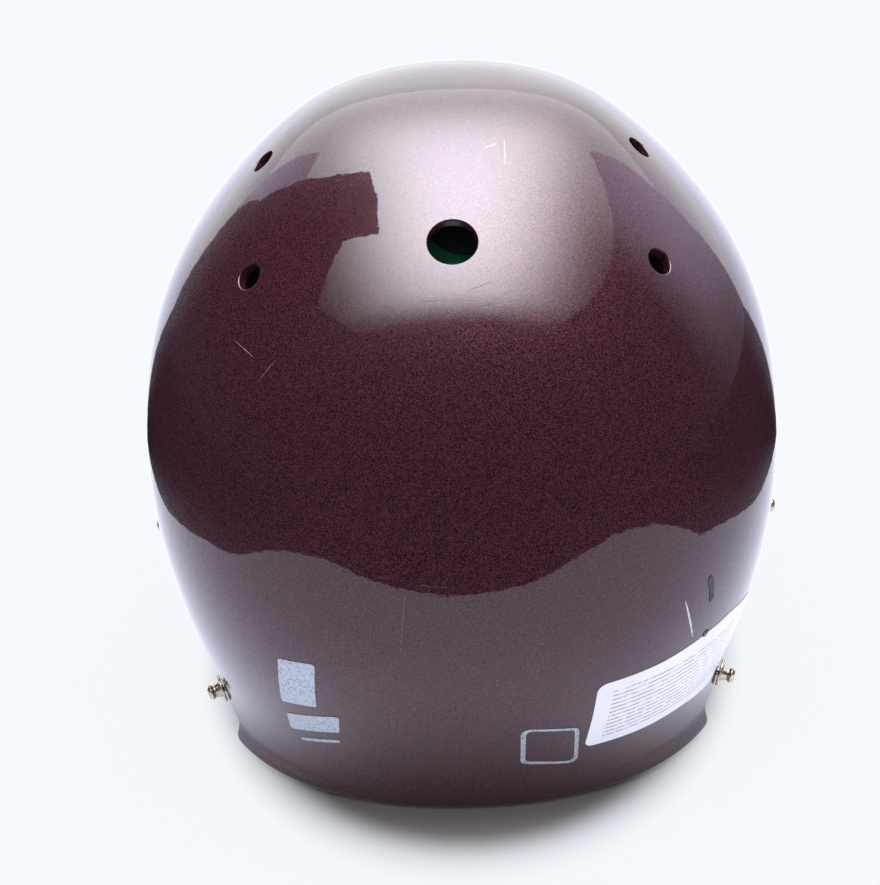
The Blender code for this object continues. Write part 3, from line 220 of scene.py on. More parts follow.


# The paper. To the camera it is matt and takes the lamp's shadow near the helmet, and a painted shadow
# darkens its colour right beside it; it turns plain white farther out. Gloss and soft light meet it brighter
# away from the helmet
square = np.array([[-1, -1, 0], [1, -1, 0], [1, 1, 0], [-1, 1, 0]], float)
tree = studio_surface("white_sweep", SWEEP_REACH * square, [[0, 1, 2, 3]], True)
away, beyond = [from_centre(tree, (0.0, 0.0, 0.0), (squeeze, 1.0, 0.0)) for squeeze in (1.7, 1.9)]
# Painted shadow: for the camera the paper's colour darkens towards #a9a3a2 right beside the helmet
beside = blended(tree, eased(tree, away, *PAPER_PAINTED_SHADOW), linear("#a9a3a2"), linear(PAPER_WHITE))
whiter = computed(tree, "MAXIMUM", eased(tree, away, *PAPER_NEAR), eased(tree, away, *PAPER_FAR))
seen = mixed(tree, whiter, diffuse(tree, beside), glow(tree, "#f6f9fd", 1.0))
in_gloss = mixed(tree, eased(tree, beyond, *PAPER_MIRRORED), diffuse(tree, linear(PAPER_WHITE)),
                 glow(tree, "#e7e8fc", 1.48))
show(tree, mixed(tree, add_node(tree, "ShaderNodeLightPath").outputs["Is Camera Ray"], in_gloss, seen))

# The room's wall is part of a cylinder: angle a from +Y at radius R, from the table's level up. Its
# far sides are paler, the right one from low down and the left one only high up
angle = np.linspace(ROOM_LEFT, ROOM_RIGHT, ROOM_STRIPS + 1)
ring = np.stack([np.sin(angle), np.cos(angle), 0 * angle], 1)
step = np.arange(ROOM_STRIPS)
strip = np.stack([step, step + 1, step + ROOM_STRIPS + 2, step + ROOM_STRIPS + 1], 1)
wall = np.concatenate([ring * ROOM_RADIUS, ring * ROOM_RADIUS + (0, 0, ROOM_HEIGHT)])
tree = studio_surface("dark_room_wall", wall, strip)
x, y, z = add_node(tree, "ShaderNodeSeparateXYZ", {0: place_in(tree)}).outputs
on_right = computed(tree, "LESS_THAN", x, 0.0)
on_left = computed(tree, "SUBTRACT", 1.0, on_right)
pale_right = product(tree, eased(tree, y, *RIGHT_WALL_FAR), eased(tree, z, *RIGHT_WALL_UP), on_right)
pale_left = product(tree, remapped(tree, y, *LEFT_WALL_FAR), remapped(tree, z, *LEFT_WALL_UP), on_left)
pale = computed(tree, "ADD", pale_right, pale_left)
show(tree, glow(tree, "#bdb4cc", computed(tree, "MAXIMUM", pale, eased(tree, z, *WALL_DUSK))))

# The dark floor of the room shows in the gloss beyond the edge of the white table: each corner
# of that edge is an angle from +Y in degrees and a distance
TABLE_EDGE = ((-134, 0.25), (-100, 0.27), (-90, 0.30), (-70, 0.40), (-56, 0.76), (-45, 0.92), (-30, 0.80),
              (-16, 0.64), (0, 0.58), (14, 0.62), (28, 0.70), (40, 0.77), (50, 0.70), (68, 0.40),
              (90, 0.31), (104, 0.27), (138, 0.26))
reach = np.interp(np.degrees(angle), *np.array(TABLE_EDGE, float).T)[:, None]
ground = np.concatenate([ring * reach, ring * (ROOM_RADIUS + 0.1)]) + (0, 0, FLOOR_RISE)
tree = studio_surface("dark_room_floor", ground, strip)
show(tree, glow(tree, "#c9b9c6", 0.015))

# Ceiling: one wide pale panel, brightest over the helmet. Its light falls off as exp(-r^2), with r
# measured in its reach each way, ends softly behind, and is paler at the far end of the room
overhead = CEILING_REACH * square + (0.0, 0.0, CEILING_HEIGHT)
tree = studio_surface("pale_ceiling", overhead, [[3, 2, 1, 0]])
apart = from_centre(tree, GLOW_CENTRE, (1 / GLOW_REACH[0], 1 / GLOW_REACH[1], 0.0))
y = add_node(tree, "ShaderNodeSeparateXYZ", {0: place_in(tree)}).outputs["Y"]
peak = computed(tree, "EXPONENT", product(tree, apart, apart, -1.0))
peak = product(tree, peak, eased(tree, y, *CEILING_END))
sky = eased(tree, y, *CEILING_FAR)
show(tree, glow(tree, "#f4f6ff", computed(tree, "MULTIPLY_ADD", peak, GLOW_STRENGTH, sky)))

# A dark board with a ragged outline of (y, z) stands beside the helmet, and ends the glow there
BOARD_OUTLINE = ((0.22, 0.28), (-0.47, 0.28), (-0.43, 0.39), (-0.34, 0.45), (-0.29, 0.595), (-0.27, 0.88),
                 (-0.38, 1.44), (-0.09, 1.48), (0.19, 1.36), (0.11, 0.895), (0.18, 0.745), (0.25, 0.64))
board = np.insert(np.array(BOARD_OUTLINE), 0, BOARD_SIDE, axis=1)
tree = studio_surface("dark_side_board", board, [range(len(board))])
show(tree, glow(tree, "#a8705f", 0.16))

lamp = bpy.data.objects.new("soft_lamp", bpy.data.lights.new("soft_lamp", "AREA"))
lamp.data.shape, lamp.data.size, lamp.data.energy = "DISK", LAMP_SIZE, LAMP_WATTS
lamp.data.color = linear("#fffcfd")[:3]
lamp.location = LAMP_PLACE
lamp.visible_camera = lamp.visible_glossy = False
bpy.context.scene.collection.objects.link(lamp)

# Beyond the table all is white to the eye and in gloss, and softer for the light that it gives
world = bpy.data.worlds.new("white_studio")
bpy.context.scene.world = world
world.use_nodes = True
tree = world.node_tree
tree.nodes.clear()
ray = add_node(tree, "ShaderNodeLightPath").outputs
in_view = computed(tree, "MAXIMUM", computed(tree, "MAXIMUM", ray["Is Camera Ray"], ray["Is Glossy Ray"]),
                   ray["Is Transmission Ray"])
shine = computed(tree, "MULTIPLY_ADD", ray["Is Glossy Ray"], 0.5, 1.0)
soft = add_node(tree, "ShaderNodeBackground", {"Color": linear("#f4f6fb"), "Strength": 0.55})
white = add_node(tree, "ShaderNodeBackground", {"Color": linear("#f4f7fc"), "Strength": shine})
add_node(tree, "ShaderNodeOutputWorld", {0: mixed(tree, in_view, soft.outputs[0], white.outputs[0])})
bpy.context.scene.view_settings.view_transform = "Standard"


# Shell: one bowl moulded in polycarbonate, 4 mm thick, sprayed with metal flake paint and clear
# coated. Its sections are blended smoothly, and every edge and hole is broken with a small round.
SHELL_HEIGHT = 0.246
SHELL_HALF_WIDTH = 0.1215
REAR_REACH = 0.1372
FRONT_REACH = 0.146
SHELL_WALL = 0.0040
CROWN_AXIS = 0.036248
REAR_SHARES = ((0.0, 1.0), (0.32, 0.97), (0.613, 0.874), (0.818, 0.736), (0.943, 0.573),
               (1.0, 0.407), (0.99, 0.293), (0.925, 0.183), (0.832, 0.081), (0.778, 0.0))
SIDE_SHARES = ((0.0, 1.0), (0.362, 0.976), (0.617, 0.89), (0.843, 0.756), (0.969, 0.602),
               (1.0, 0.439), (0.973, 0.309), (0.913, 0.187), (0.843, 0.081), (0.825, 0.0))
FRONT_SHARES = ((0.0, 1.0), (0.308, 0.984), (0.603, 0.919), (0.822, 0.805), (0.945, 0.667),
                (1.0, 0.52), (0.979, 0.386), (0.918, 0.244), (0.849, 0.114), (0.808, 0.0))
LIP_FLARE = 0.0024
LIP_HEIGHT = 0.0085
REAR_RIM_HEIGHT = 0.0027
NAPE_HEIGHT = 0.0005
EDGE_ROUND = 0.0013
HOLE_ROUND = 0.0011
DRILL_ROUND = 0.0003
VENT_ROUND = 0.0005
ROUND_STEPS = 5
NUDGE = 4e-4
BATCH = 4000


def spline(shares):
    """Knots and second derivatives of a cubic spline down a profile, level at the crown."""
    knots = np.array(shares, float)
    rows = np.eye(len(knots))
    right = np.zeros_like(knots)
    inner = np.arange(1, len(knots) - 1)
    rows[inner, inner - 1], rows[inner, inner], rows[inner, inner + 1] = 1, 4, 1
    right[1:-1] = 6 * (knots[:-2] - 2 * knots[1:-1] + knots[2:])
    reach = np.linalg.solve(rows, right[:, 0])
    rows[0, :2] = (2, 1)
    right[0, 1] = 6 * (knots[1, 1] - knots[0, 1])
    return knots, np.stack([reach, np.linalg.solve(rows, right[:, 1])], 1)


def along_spline(curve, drop):
    """Reach and height shares at drop: v k0 + u k1 + ((v^3 - v) m0 + (u^3 - u) m1) / 6."""
    knots, bends = curve
    at = np.asarray(drop, float) * (len(knots) - 1)
    i = np.clip(np.floor(at).astype(int), 0, len(knots) - 2)
    u = (at - i)[..., None]
    v = 1 - u
    return v * knots[i] + u * knots[i + 1] + ((v ** 3 - v) * bends[i] + (u ** 3 - u) * bends[i + 1]) / 6


def ease(value):
    """Smooth step: 6 t^5 - 15 t^4 + 10 t^3 with t kept from 0 to 1."""
    t = np.clip(value, 0, 1)
    return t ** 3 * (t * (6 * t - 15) + 10)


PROFILES = [(REAR_REACH, spline(REAR_SHARES)), (SHELL_HALF_WIDTH, spline(SIDE_SHARES)),
            (FRONT_REACH, spline(FRONT_SHARES))]


def shell_surface(uv):
    """Outer surface over a flat disc: u, v = drop * (sin turn, cos turn), with the crown at 0, 0.

    At each drop the plan is |x / side|^p + |y / along|^p = 1, where p rises from 2 at the crown
    to 2.25 at the rear rim and 2.6 at the brow, and the height blends the three profiles. A lip
    flares near the lower edge, from a turn of 18 degrees to 86, and in full from 44 to 68.
    """
    uv = np.asarray(uv, float)
    drop = np.maximum(np.hypot(uv[..., 0], uv[..., 1]), 1e-7)
    s, c = uv[..., 0] / drop, uv[..., 1] / drop
    shares = [along_spline(curve, drop) for reach, curve in PROFILES]
    rear, side, front = (np.maximum(share[..., 0] * reach, 1e-9)
                         for share, (reach, curve) in zip(shares, PROFILES))
    rise = [share[..., 1] * SHELL_HEIGHT for share in shares]
    back_share = ease((c + 1) / 2)
    low = np.clip(drop, 0, 1)
    power = 2.0 + 0.25 * low + 0.35 * (1 - back_share) * low
    along = 1 / np.sqrt(back_share / rear ** 2 + (1 - back_share) / front ** 2)
    radius = (np.abs(s / side) ** power + np.abs(c / along) ** power) ** (-1 / power)
    z = rise[1] * s ** 2 + c ** 2 * (rise[2] * (1 - back_share) + rise[0] * back_share)
    turn = np.degrees(np.abs(np.arctan2(s, c)))
    spread = ease((turn - 18) / 26) * (1 - ease((turn - 68) / 18))
    radius = radius + LIP_FLARE * spread * ease(1 - (z - REAR_RIM_HEIGHT) / LIP_HEIGHT)
    return np.stack([radius * s, radius * c + CROWN_AXIS, z], -1)


def shell_slopes(uv):
    """Derivatives of the surface along u and along v, from points a nudge to either side."""
    uv = np.asarray(uv, float)
    du = shell_surface(uv + (NUDGE, 0)) - shell_surface(uv - (NUDGE, 0))
    dv = shell_surface(uv + (0, NUDGE)) - shell_surface(uv - (0, NUDGE))
    return np.stack([du, dv], -1) / (2 * NUDGE)


def shell_outward(uv):
    """Unit normal out of the shell: the cross product of the slopes along u and along v."""
    slopes = shell_slopes(uv)
    normal = np.cross(slopes[..., 0], slopes[..., 1])
    return normal / np.linalg.norm(normal, axis=-1, keepdims=True)


def on_disc(turn, drop):
    """Disc coordinates of a turn from the nape in radians and a drop share."""
    return np.stack([drop * np.sin(turn), drop * np.cos(turn)], -1)


def solve_place(measure, target, uv):
    """Disc points where measure(uv) equals target: damped Newton steps, all points at once."""
    uv = np.array(uv, float)
    for _ in range(40):
        here = measure(uv)
        ju = (measure(uv + (NUDGE, 0)) - here) / NUDGE
        jv = (measure(uv + (0, NUDGE)) - here) / NUDGE
        miss = target - here
        det = ju[..., 0] * jv[..., 1] - ju[..., 1] * jv[..., 0]
        det = np.where(np.abs(det) < 1e-9, 1e-9, det)
        step = np.stack([miss[..., 0] * jv[..., 1] - miss[..., 1] * jv[..., 0],
                         ju[..., 0] * miss[..., 1] - ju[..., 1] * miss[..., 0]], -1) / det[..., None]
        uv = uv + np.clip(step, -0.08, 0.08)
    return uv


def at_side(y, z, turn_degrees):
    """Place of the point with this y from the crown axis and this height."""
    guess = on_disc(np.radians(turn_degrees), np.full(np.shape(y), 0.6))
    target = np.stack([np.asarray(y, float) + CROWN_AXIS, np.asarray(z, float)], -1)
    return solve_place(lambda uv: shell_surface(uv)[..., 1:], target, guess)


def at_width(x, z, turn_degrees):
    """Place of the point with this x and this height."""
    guess = on_disc(math.radians(turn_degrees), 0.5)
    return solve_place(lambda uv: shell_surface(uv)[..., ::2], np.array([x, z]), guess)


def seat(uv):
    """Frame on the shell: columns are X, Y up the shell and Z out of it, then the point."""
    out = shell_outward(uv)
    rise = shell_surface(np.asarray(uv) * (1 - 1e-3)) - shell_surface(uv)
    up = rise - out * (rise @ out)
    up /= np.linalg.norm(up)
    return np.stack([np.cross(up, out), up, out, shell_surface(uv)], 1)


def mirrored(uv):
    """The same place on the other side."""
    return np.asarray(uv) * (-1, 1)


def fillet_path(corners, steps, closed=False):
    """Corners (point, radius) as one polyline: each corner gets an arc tangent to both sides."""
    points = []
    spots = [np.array(point, float) for point, radius in corners]
    count = len(corners)
    for i, (point, radius) in enumerate(corners):
        if radius == 0 or (not closed and i in (0, count - 1)):
            points.append(spots[i])
            continue
        before, ahead = spots[i - 1] - spots[i], spots[(i + 1) % count] - spots[i]
        room = 0.48 * min(np.linalg.norm(before), np.linalg.norm(ahead))
        before, ahead = before / np.linalg.norm(before), ahead / np.linalg.norm(ahead)
        bend = math.pi - math.acos(np.clip(before @ ahead, -1, 1))
        if bend < math.radians(1):
            points.append(spots[i])
            continue
        reach = min(radius * math.tan(bend / 2), room)
        bisector = (before + ahead) / np.linalg.norm(before + ahead)
        centre = spots[i] + bisector * reach / math.tan(bend / 2) / math.cos(bend / 2)
        first, last = spots[i] + before * reach - centre, spots[i] + ahead * reach - centre
        turn = bend * np.linspace(0, 1, steps + 1)[:, None]
        points.extend(centre + (first * np.sin(bend - turn) + last * np.sin(turn)) / math.sin(bend))
    return np.array(points)


def even_path(points, spacing):
    """The same polyline with points at an even spacing, about the one given."""
    lengths = np.concatenate([[0], np.cumsum(np.linalg.norm(np.diff(points, axis=0), axis=1))])
    count = max(2, int(round(lengths[-1] / spacing)))
    at = np.linspace(0, lengths[-1], count + 1)
    return np.stack([np.interp(at, lengths, points[:, k]) for k in range(points.shape[1])], 1)


def inside_loop(points, loop):
    """Whether each flat point is inside a closed loop: an odd number of edges lie to its right."""
    inside = np.zeros(len(points), bool)
    ends = np.roll(loop, -1, 0)
    for first in range(0, len(points), BATCH):
        x, y = points[first:first + BATCH].T[:, :, None]
        spans = (loop[:, 1] > y) != (ends[:, 1] > y)
        rise = np.where(ends[:, 1] == loop[:, 1], 1e-12, ends[:, 1] - loop[:, 1])
        hit = spans & (x < loop[:, 0] + (y - loop[:, 1]) * (ends[:, 0] - loop[:, 0]) / rise)
        inside[first:first + BATCH] = hit.sum(1) % 2 == 1
    return inside


def loop_gap(points, loop):
    """Distance from each flat point to the nearest point of a loop."""
    gap = np.empty(len(points))
    for first in range(0, len(points), BATCH):
        apart = points[first:first + BATCH, None] - loop
        gap[first:first + BATCH] = np.sqrt((apart ** 2).sum(-1)).min(1)
    return gap


def in_plate(points, loops):
    """Whether each flat point is inside the first loop and outside the rest."""
    inside = inside_loop(points, loops[0])
    for loop in loops[1:]:
        inside &= ~inside_loop(points, loop)
    return inside


def curved_plate(name, loops, rounds, top, bottom, spacing):
    """A plate that follows the shell between two depths, bounded by closed loops on the disc.

    The first loop is its outline and the rest are holes. Each edge is a quarter round of radius
    b at both faces: a row at distance b (1 - sin t) from the edge lies b (1 - cos t) deeper. The
    faces between are a Delaunay mesh of the disc with a regular grid inside it.
    """
    edge_rows, fences = [], []
    for number, (loop, b) in enumerate(zip(loops, rounds)):
        points = shell_surface(loop)
        inward = np.cross(shell_outward(loop), np.roll(points, -1, 0) - np.roll(points, 1, 0))
        inward /= np.linalg.norm(inward, axis=1, keepdims=True)
        move = np.einsum("nij,nj->ni", np.linalg.pinv(shell_slopes(loop)), inward)
        if (inside_loop(loop + move * b, loop).mean() > 0.5) != (number == 0):
            inward, move = -inward, -move
        swing = np.linspace(0, math.pi / 2, ROUND_STEPS + 1)
        rows = [(loop + move * (b * (1 - math.sin(t))), b * (1 - math.cos(t)), t) for t in swing]
        edge_rows.append((rows, inward))
        fences.append(loop + move * (b + 0.6 * b))
    columns, lines = [np.arange(low, high, spacing) for low, high in zip(loops[0].min(0), loops[0].max(0))]
    grid = np.stack(np.meshgrid(columns, lines, indexing="ij"), -1).reshape(-1, 2)
    grid = grid[in_plate(grid, fences)]
    for fence in fences:
        pitch = np.linalg.norm(np.roll(fence, -1, 0) - fence, axis=1).mean()
        grid = grid[loop_gap(grid, fence) > min(0.7 * spacing, 0.9 * pitch + 0.1 * spacing)]
    starts = np.cumsum([0] + [len(fence) for fence in fences])
    edges = [(start + i, start + (i + 1) % len(fence)) for start, fence in zip(starts, fences)
             for i in range(len(fence))]
    flat, _, triangles = delaunay_2d_cdt([Vector(p) for p in np.concatenate(fences + [grid])],
                                         edges, [], 0, 1e-9)[:3]
    flat, triangles = np.array([tuple(p) for p in flat]), np.array([tuple(t) for t in triangles])
    triangles = triangles[in_plate(flat[triangles].mean(1), fences)]
    out, size = shell_outward(flat), len(flat)
    points = [shell_surface(flat) - out * top, shell_surface(flat) - out * bottom]
    normals = [out, -out]
    a, b, c = points[0][triangles[0]]
    if np.cross(b - a, c - a) @ out[triangles[0, 0]] <= 0:
        triangles = triangles[:, ::-1]
    quads = []
    for start, fence, (rows, inward) in zip(starts, fences, edge_rows):
        turn = np.arange(len(fence))
        ids = [start + turn]
        for side, order, depth in ((1, rows, top), (-1, rows[::-1], bottom)):
            for uv, sink, t in order:
                out = shell_outward(uv)
                ids.append(sum(map(len, points)) + turn)
                points.append(shell_surface(uv) - out * (depth + side * sink))
                normals.append(side * out * math.cos(t) - inward * math.sin(t))
        ids.append(size + start + turn)
        band = [np.stack([upper, np.roll(upper, -1), np.roll(lower, -1), lower], 1)
                for upper, lower in zip(ids, ids[1:])]
        first = band[1][0]
        a, b, _, d = np.concatenate(points)[first]
        flip = np.cross(b - a, d - a) @ np.concatenate(normals)[first[0]] < 0
        quads.extend([quad[:, ::-1] for quad in band] if flip else band)
    return link_mesh(name, np.concatenate(points), triangles, triangles[:, ::-1] + size,
                     np.concatenate(quads), normals=np.concatenate(normals))


def ring_loop(uv, radius, count):
    """Loop on the disc whose points lie at this radius round the axis out of the shell at uv."""
    place = seat(uv)
    turn = 2 * math.pi * np.arange(count) / count
    target = radius * np.stack([np.cos(turn), np.sin(turn)], 1)
    return solve_place(lambda p: (shell_surface(p) - place[:, 3]) @ place[:, :2], target,
                       np.broadcast_to(np.asarray(uv), (count, 2)))


# Side view of the shell's lower edge, from the brow round the face opening, jaw flap and ear
# arch to the nape, as corners of y from the crown axis, height and round
SIDE_EDGE = fillet_path([((-0.158, 0.138), 0), ((-0.079, 0.130), 0.022), ((-0.070, 0.077), 0.022),
                         ((-0.104, 0.056), 0.013), ((-0.097, 0.0), 0.013), ((-0.038, 0.0), 0.018),
                         ((-0.022, 0.0112), 0.018), ((0.0545, 0.0112), 0.004),
                         ((0.0580, REAR_RIM_HEIGHT), 0.004), ((0.086, REAR_RIM_HEIGHT), 0)], 12)
side_path = even_path(SIDE_EDGE, 0.0013)
side_path = side_path[(side_path[:, 0] > -0.112) & (side_path[:, 0] < 0.066)]
guess_turn = np.degrees(np.arccos(np.clip(side_path[:, 0] / 0.128, -0.9, 0.9)))
side_uv = at_side(side_path[:, 0], side_path[:, 1], guess_turn)


def edge_by_turn(turns, height_at):
    """Places at these turns where height = height_at(y): bisection on the drop share."""
    low, high = np.full(len(turns), 0.3), np.full(len(turns), 1.05)
    for _ in range(40):
        mid = (low + high) / 2
        point = shell_surface(on_disc(turns, mid))
        above = point[:, 2] > height_at(point[:, 1] - CROWN_AXIS)
        low, high = np.where(above, mid, low), np.where(above, high, mid)
    return on_disc(turns, (low + high) / 2)


brow_turns = np.linspace(math.pi, np.arctan2(*side_uv[0]), 46)[:-1]
nape_turns = np.linspace(np.arctan2(*side_uv[-1]), 0, 60)[1:]
brow_edge = edge_by_turn(brow_turns, lambda y: 0.138 + (y + 0.158) * (0.130 - 0.138) / 0.079)
nape_edge = edge_by_turn(nape_turns, lambda y: np.interp(y, (0.086, 0.1065), (REAR_RIM_HEIGHT, NAPE_HEIGHT)))
left_edge = np.concatenate([brow_edge, side_uv, nape_edge])
shell_edge = np.concatenate([left_edge, mirrored(left_edge[-2:0:-1])])

# Places on the shell, then its holes: place, radius, points round it and the round of its edge
REAR_HOLE = at_width(0.0, 0.2149, 0)
LOWER_VENT = at_width(0.0720, 0.1982, 45)
UPPER_VENT = at_side(0.0150, 0.2236, 75)
EAR_HOLE = at_side(-0.028, 0.086, 100)
LOWER_STUD = at_side(0.0440, 0.0182, 66)
UPPER_STUD = at_side(0.0, 0.0690, 90)
CLIP_PLACE = at_side(-0.064, 0.050, 118)
STRAP_PLACE = at_width(0.032, 0.156, 165)
SNAP_FRONT, SNAP_REAR = [at_side(-0.094 + 0.048 * share, 0.0227, 125) for share in (0.24, 0.76)]
BUMPER_SCREW = at_width(0.014, 0.137 + 0.0032 + 0.0016 + 0.013, 180)
holes = [(REAR_HOLE, 0.0086, 72, VENT_ROUND)]
for uv, *rest in ((LOWER_VENT, 0.0049, 56, VENT_ROUND), (UPPER_VENT, 0.0048, 56, VENT_ROUND),
                  (EAR_HOLE, 0.0150, 96, HOLE_ROUND), (LOWER_STUD, 0.0018, 20, DRILL_ROUND),
                  (UPPER_STUD, 0.0018, 20, DRILL_ROUND), (CLIP_PLACE, 0.0035, 28, DRILL_ROUND),
                  (STRAP_PLACE, 0.0036, 28, DRILL_ROUND), (SNAP_FRONT, 0.0018, 20, DRILL_ROUND),
                  (SNAP_REAR, 0.0018, 20, DRILL_ROUND), (BUMPER_SCREW, 0.0016, 20, DRILL_ROUND)):
    holes += [(uv, *rest), (mirrored(uv), *rest)]
loops = [shell_edge] + [ring_loop(uv, radius, count) for uv, radius, count, edge in holes]
rounds = [EDGE_ROUND] + [edge for uv, radius, count, edge in holes]
shell = curved_plate("painted_shell", loops, rounds, 0.0, SHELL_WALL, 0.0105)


def new_material(name):
    """A material, its tree and the shading point in its tree."""
    made = bpy.data.materials.new(name)
    made.use_nodes = True
    return made, made.node_tree, place_in(made.node_tree)


def with_sockets(material, sockets):
    """The material, once its Principled shader has these sockets."""
    set_sockets(material.node_tree.nodes["Principled BSDF"], sockets)
    return material


def noise(tree, place, scale, detail):
    """The value of a noise of this many cells a metre."""
    return add_node(tree, "ShaderNodeTexNoise",
                    {"Vector": place, "Scale": scale, "Detail": detail}).outputs[0]


def bumped(tree, height, strength, depth):
    """A normal tilted by a height that reaches this many metres."""
    return add_node(tree, "ShaderNodeBump", {"Height": height, "Strength": strength,
                                             "Distance": depth}).outputs[0]


def tinted(tree, value, low, dark, high, light):
    """A colour from dark to light as value goes from low to high."""
    made = add_node(tree, "ShaderNodeValToRGB", {0: value})
    for stop, position, colour in zip(made.color_ramp.elements, (low, high), (dark, light)):
        stop.position, stop.color = position, linear(colour)
    return made.outputs[0]


def patchy_material(name, sockets, cloud, tint, worn=None, grain=None):
    """A material in two tones that drift into each other.

    cloud is the scale and detail of their noise, tint its low value and tone and its high value
    and tone, worn its low and high value and the roughness at each, and grain the scale,
    strength and depth of a finer bump.
    """
    made, tree, place = new_material(name)
    patches = noise(tree, place, *cloud)
    sockets = {**sockets, "Base Color": tinted(tree, patches, *tint)}
    if worn:
        sockets["Roughness"] = remapped(tree, patches, *worn)
    if grain:
        sockets["Normal"] = bumped(tree, noise(tree, place, grain[0], 2.0), *grain[1:])
    return with_sockets(made, sockets)


def finish_piece(piece, material, slot, *nodes, body="helmet"):
    """Give a piece its material and its body, and hide the CAD nodes that it stands for; slot is not used."""
    piece.data.materials.clear()
    piece.data.materials.append(material)
    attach(piece, body)
    if nodes:
        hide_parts(*nodes)
    return piece


FLAKE_SCALE, FLAKE_TILT = 7000.0, 0.26


def flake_paint():
    """Maroon metal flake lacquer under clear coat, sprayed on polycarbonate: dark where it mirrors
    the room, a pale pink glow where its flakes face the light. Each flake tilts its own way and is
    more or less metal. Real flakes are 0.05 to 0.2 mm across, and these are 0.14 mm. The coat has
    a faint orange peel and a few hairline scratches.
    """
    made, tree, place = new_material("maroon_flake_lacquer")
    flake = add_node(tree, "ShaderNodeTexVoronoi", {"Vector": place, "Scale": FLAKE_SCALE}).outputs["Color"]
    tilt = vector_of(tree, "SUBTRACT", flake, (0.5, 0.5, 0.5))
    tilt = vector_of(tree, "MULTIPLY", tilt, (FLAKE_TILT, FLAKE_TILT, FLAKE_TILT))
    face = add_node(tree, "ShaderNodeNewGeometry").outputs["Normal"]
    pick = add_node(tree, "ShaderNodeSeparateColor", {0: flake}).outputs[0]
    metal = remapped(tree, pick, 0.45, 1.0, 0.02, 0.26)
    hair = add_node(tree, "ShaderNodeMapping", {"Vector": place, "Rotation": (0.5, 0.9, 0.3),
                                                "Scale": (40.0, 900.0, 900.0)}).outputs[0]
    scratch = remapped(tree, noise(tree, hair, 1.0, 1.0), 0.70, 0.78)
    height = computed(tree, "MULTIPLY_ADD", scratch, -0.6, noise(tree, place, 260.0, 2.0))
    return with_sockets(made, {
        "Normal": vector_of(tree, "NORMALIZE", vector_of(tree, "ADD", face, tilt)),
        "Base Color": tinted(tree, metal, 0.04, "#16030a", 0.26, "#74414f"), "Metallic": metal,
        "Roughness": 0.28, "Specular IOR Level": 0.05, "Coat Weight": 1.0, "Coat IOR": 1.50,
        "Coat Roughness": 0.025, "Coat Normal": bumped(tree, height, 0.10, 0.0002)})


# The shell's inside gets no paint: moulded polycarbonate with a satin, faintly pebbled skin and
# paler clouds of glue and dust. Its faces are the second half of the plate's triangles
inside_finish = patchy_material(
    "bare_moulded_polycarbonate", {}, (24.0, 5.0), (0.38, "#2b1a20", 0.74, "#4b363d"),
    (0.3, 0.75, 0.36, 0.58), (700.0, 0.2, 0.0002))
finish_piece(shell, flake_paint(), "maroon_paint", "shell")
shell.data.materials.append(inside_finish)
corners_of = np.empty(len(shell.data.polygons), np.int32)
shell.data.polygons.foreach_get("loop_total", corners_of)
face_count = int((corners_of == 3).sum()) // 2
inner_face = (np.arange(len(corners_of)) // face_count == 1).astype(np.int32)
shell.data.polygons.foreach_set("material_index", inner_face)


# Liner: green welded bladders over the crown and the back of the head, and black foam pads in a
# vinyl skin at the sides, brow, nape and jaws. All of them are stuck or snapped inside the shell.
PAD_DEPTH = SHELL_WALL + 0.0009
BLADDER_THICKNESS = 0.021
BLADDER_WEB = 0.003
GROOVE_SHARE = 0.55
PULL_SHARE = 0.05
START_SLACK = 0.0010
SKIN_PRESSURE = 4.0
SKIN_FRAMES = 20
SKIN_SWELL = 0.0018
SKIN_LEVELS = 1
WELT_RADIUS = 0.0011
TABLE_GAP = 0.0002


def cell_fill(along, cells, sharp=6):
    """Fullness along a row of cells: 1 - |2 f - 1|^sharp, with f the share of the way over a cell."""
    return 1 - np.abs(np.mod(along * cells, 1.0) * 2 - 1) ** sharp


def shell_inside(uv, depth):
    """Points at a depth below the shell's outer surface."""
    return shell_surface(uv) - shell_outward(uv) * np.asarray(depth)[..., None]


def rim_of(grid):
    """The outermost entries of a grid, in order round it."""
    return np.concatenate([grid[:-1, 0], grid[-1, :-1], grid[:0:-1, -1], grid[0, :0:-1]])


def skin_object(name, outer, inner, wrap=False):
    """A closed skin from two like grids of points, the outer one nearer the shell.

    Rows run round the helmet and columns run down it. With wrap, the rows close on themselves
    and the first column is a pole.
    """
    size = outer.shape[0] * outer.shape[1]
    index = np.arange(size).reshape(outer.shape[:2])
    fans = []
    if wrap:
        index[:, 0] = index[0, 0]
        here, ahead, start, rim = index, np.roll(index, -1, 0), 1, index[::-1, -1]
        fan = np.stack([here[:, 0], ahead[:, 1], here[:, 1]], -1)
        fans = [fan, fan[:, ::-1] + size]
    else:
        here, ahead, start, rim = index[:-1], index[1:], 0, rim_of(index)
    quads = np.stack([here[:, start:-1], ahead[:, start:-1], ahead[:, start + 1:], here[:, start + 1:]],
                     -1).reshape(-1, 4)
    after = np.roll(rim, -1)
    wall = np.stack([after, rim, rim + size, after + size], 1)
    points = np.concatenate([outer, inner]).reshape(-1, 3)
    return link_mesh(name, points, quads, quads[:, ::-1] + size, wall, *fans)


def points_of(mesh):
    """A mesh's points as an array."""
    points = np.empty(len(mesh.vertices) * 3)
    mesh.vertices.foreach_get("co", points)
    return points.reshape(-1, 3)


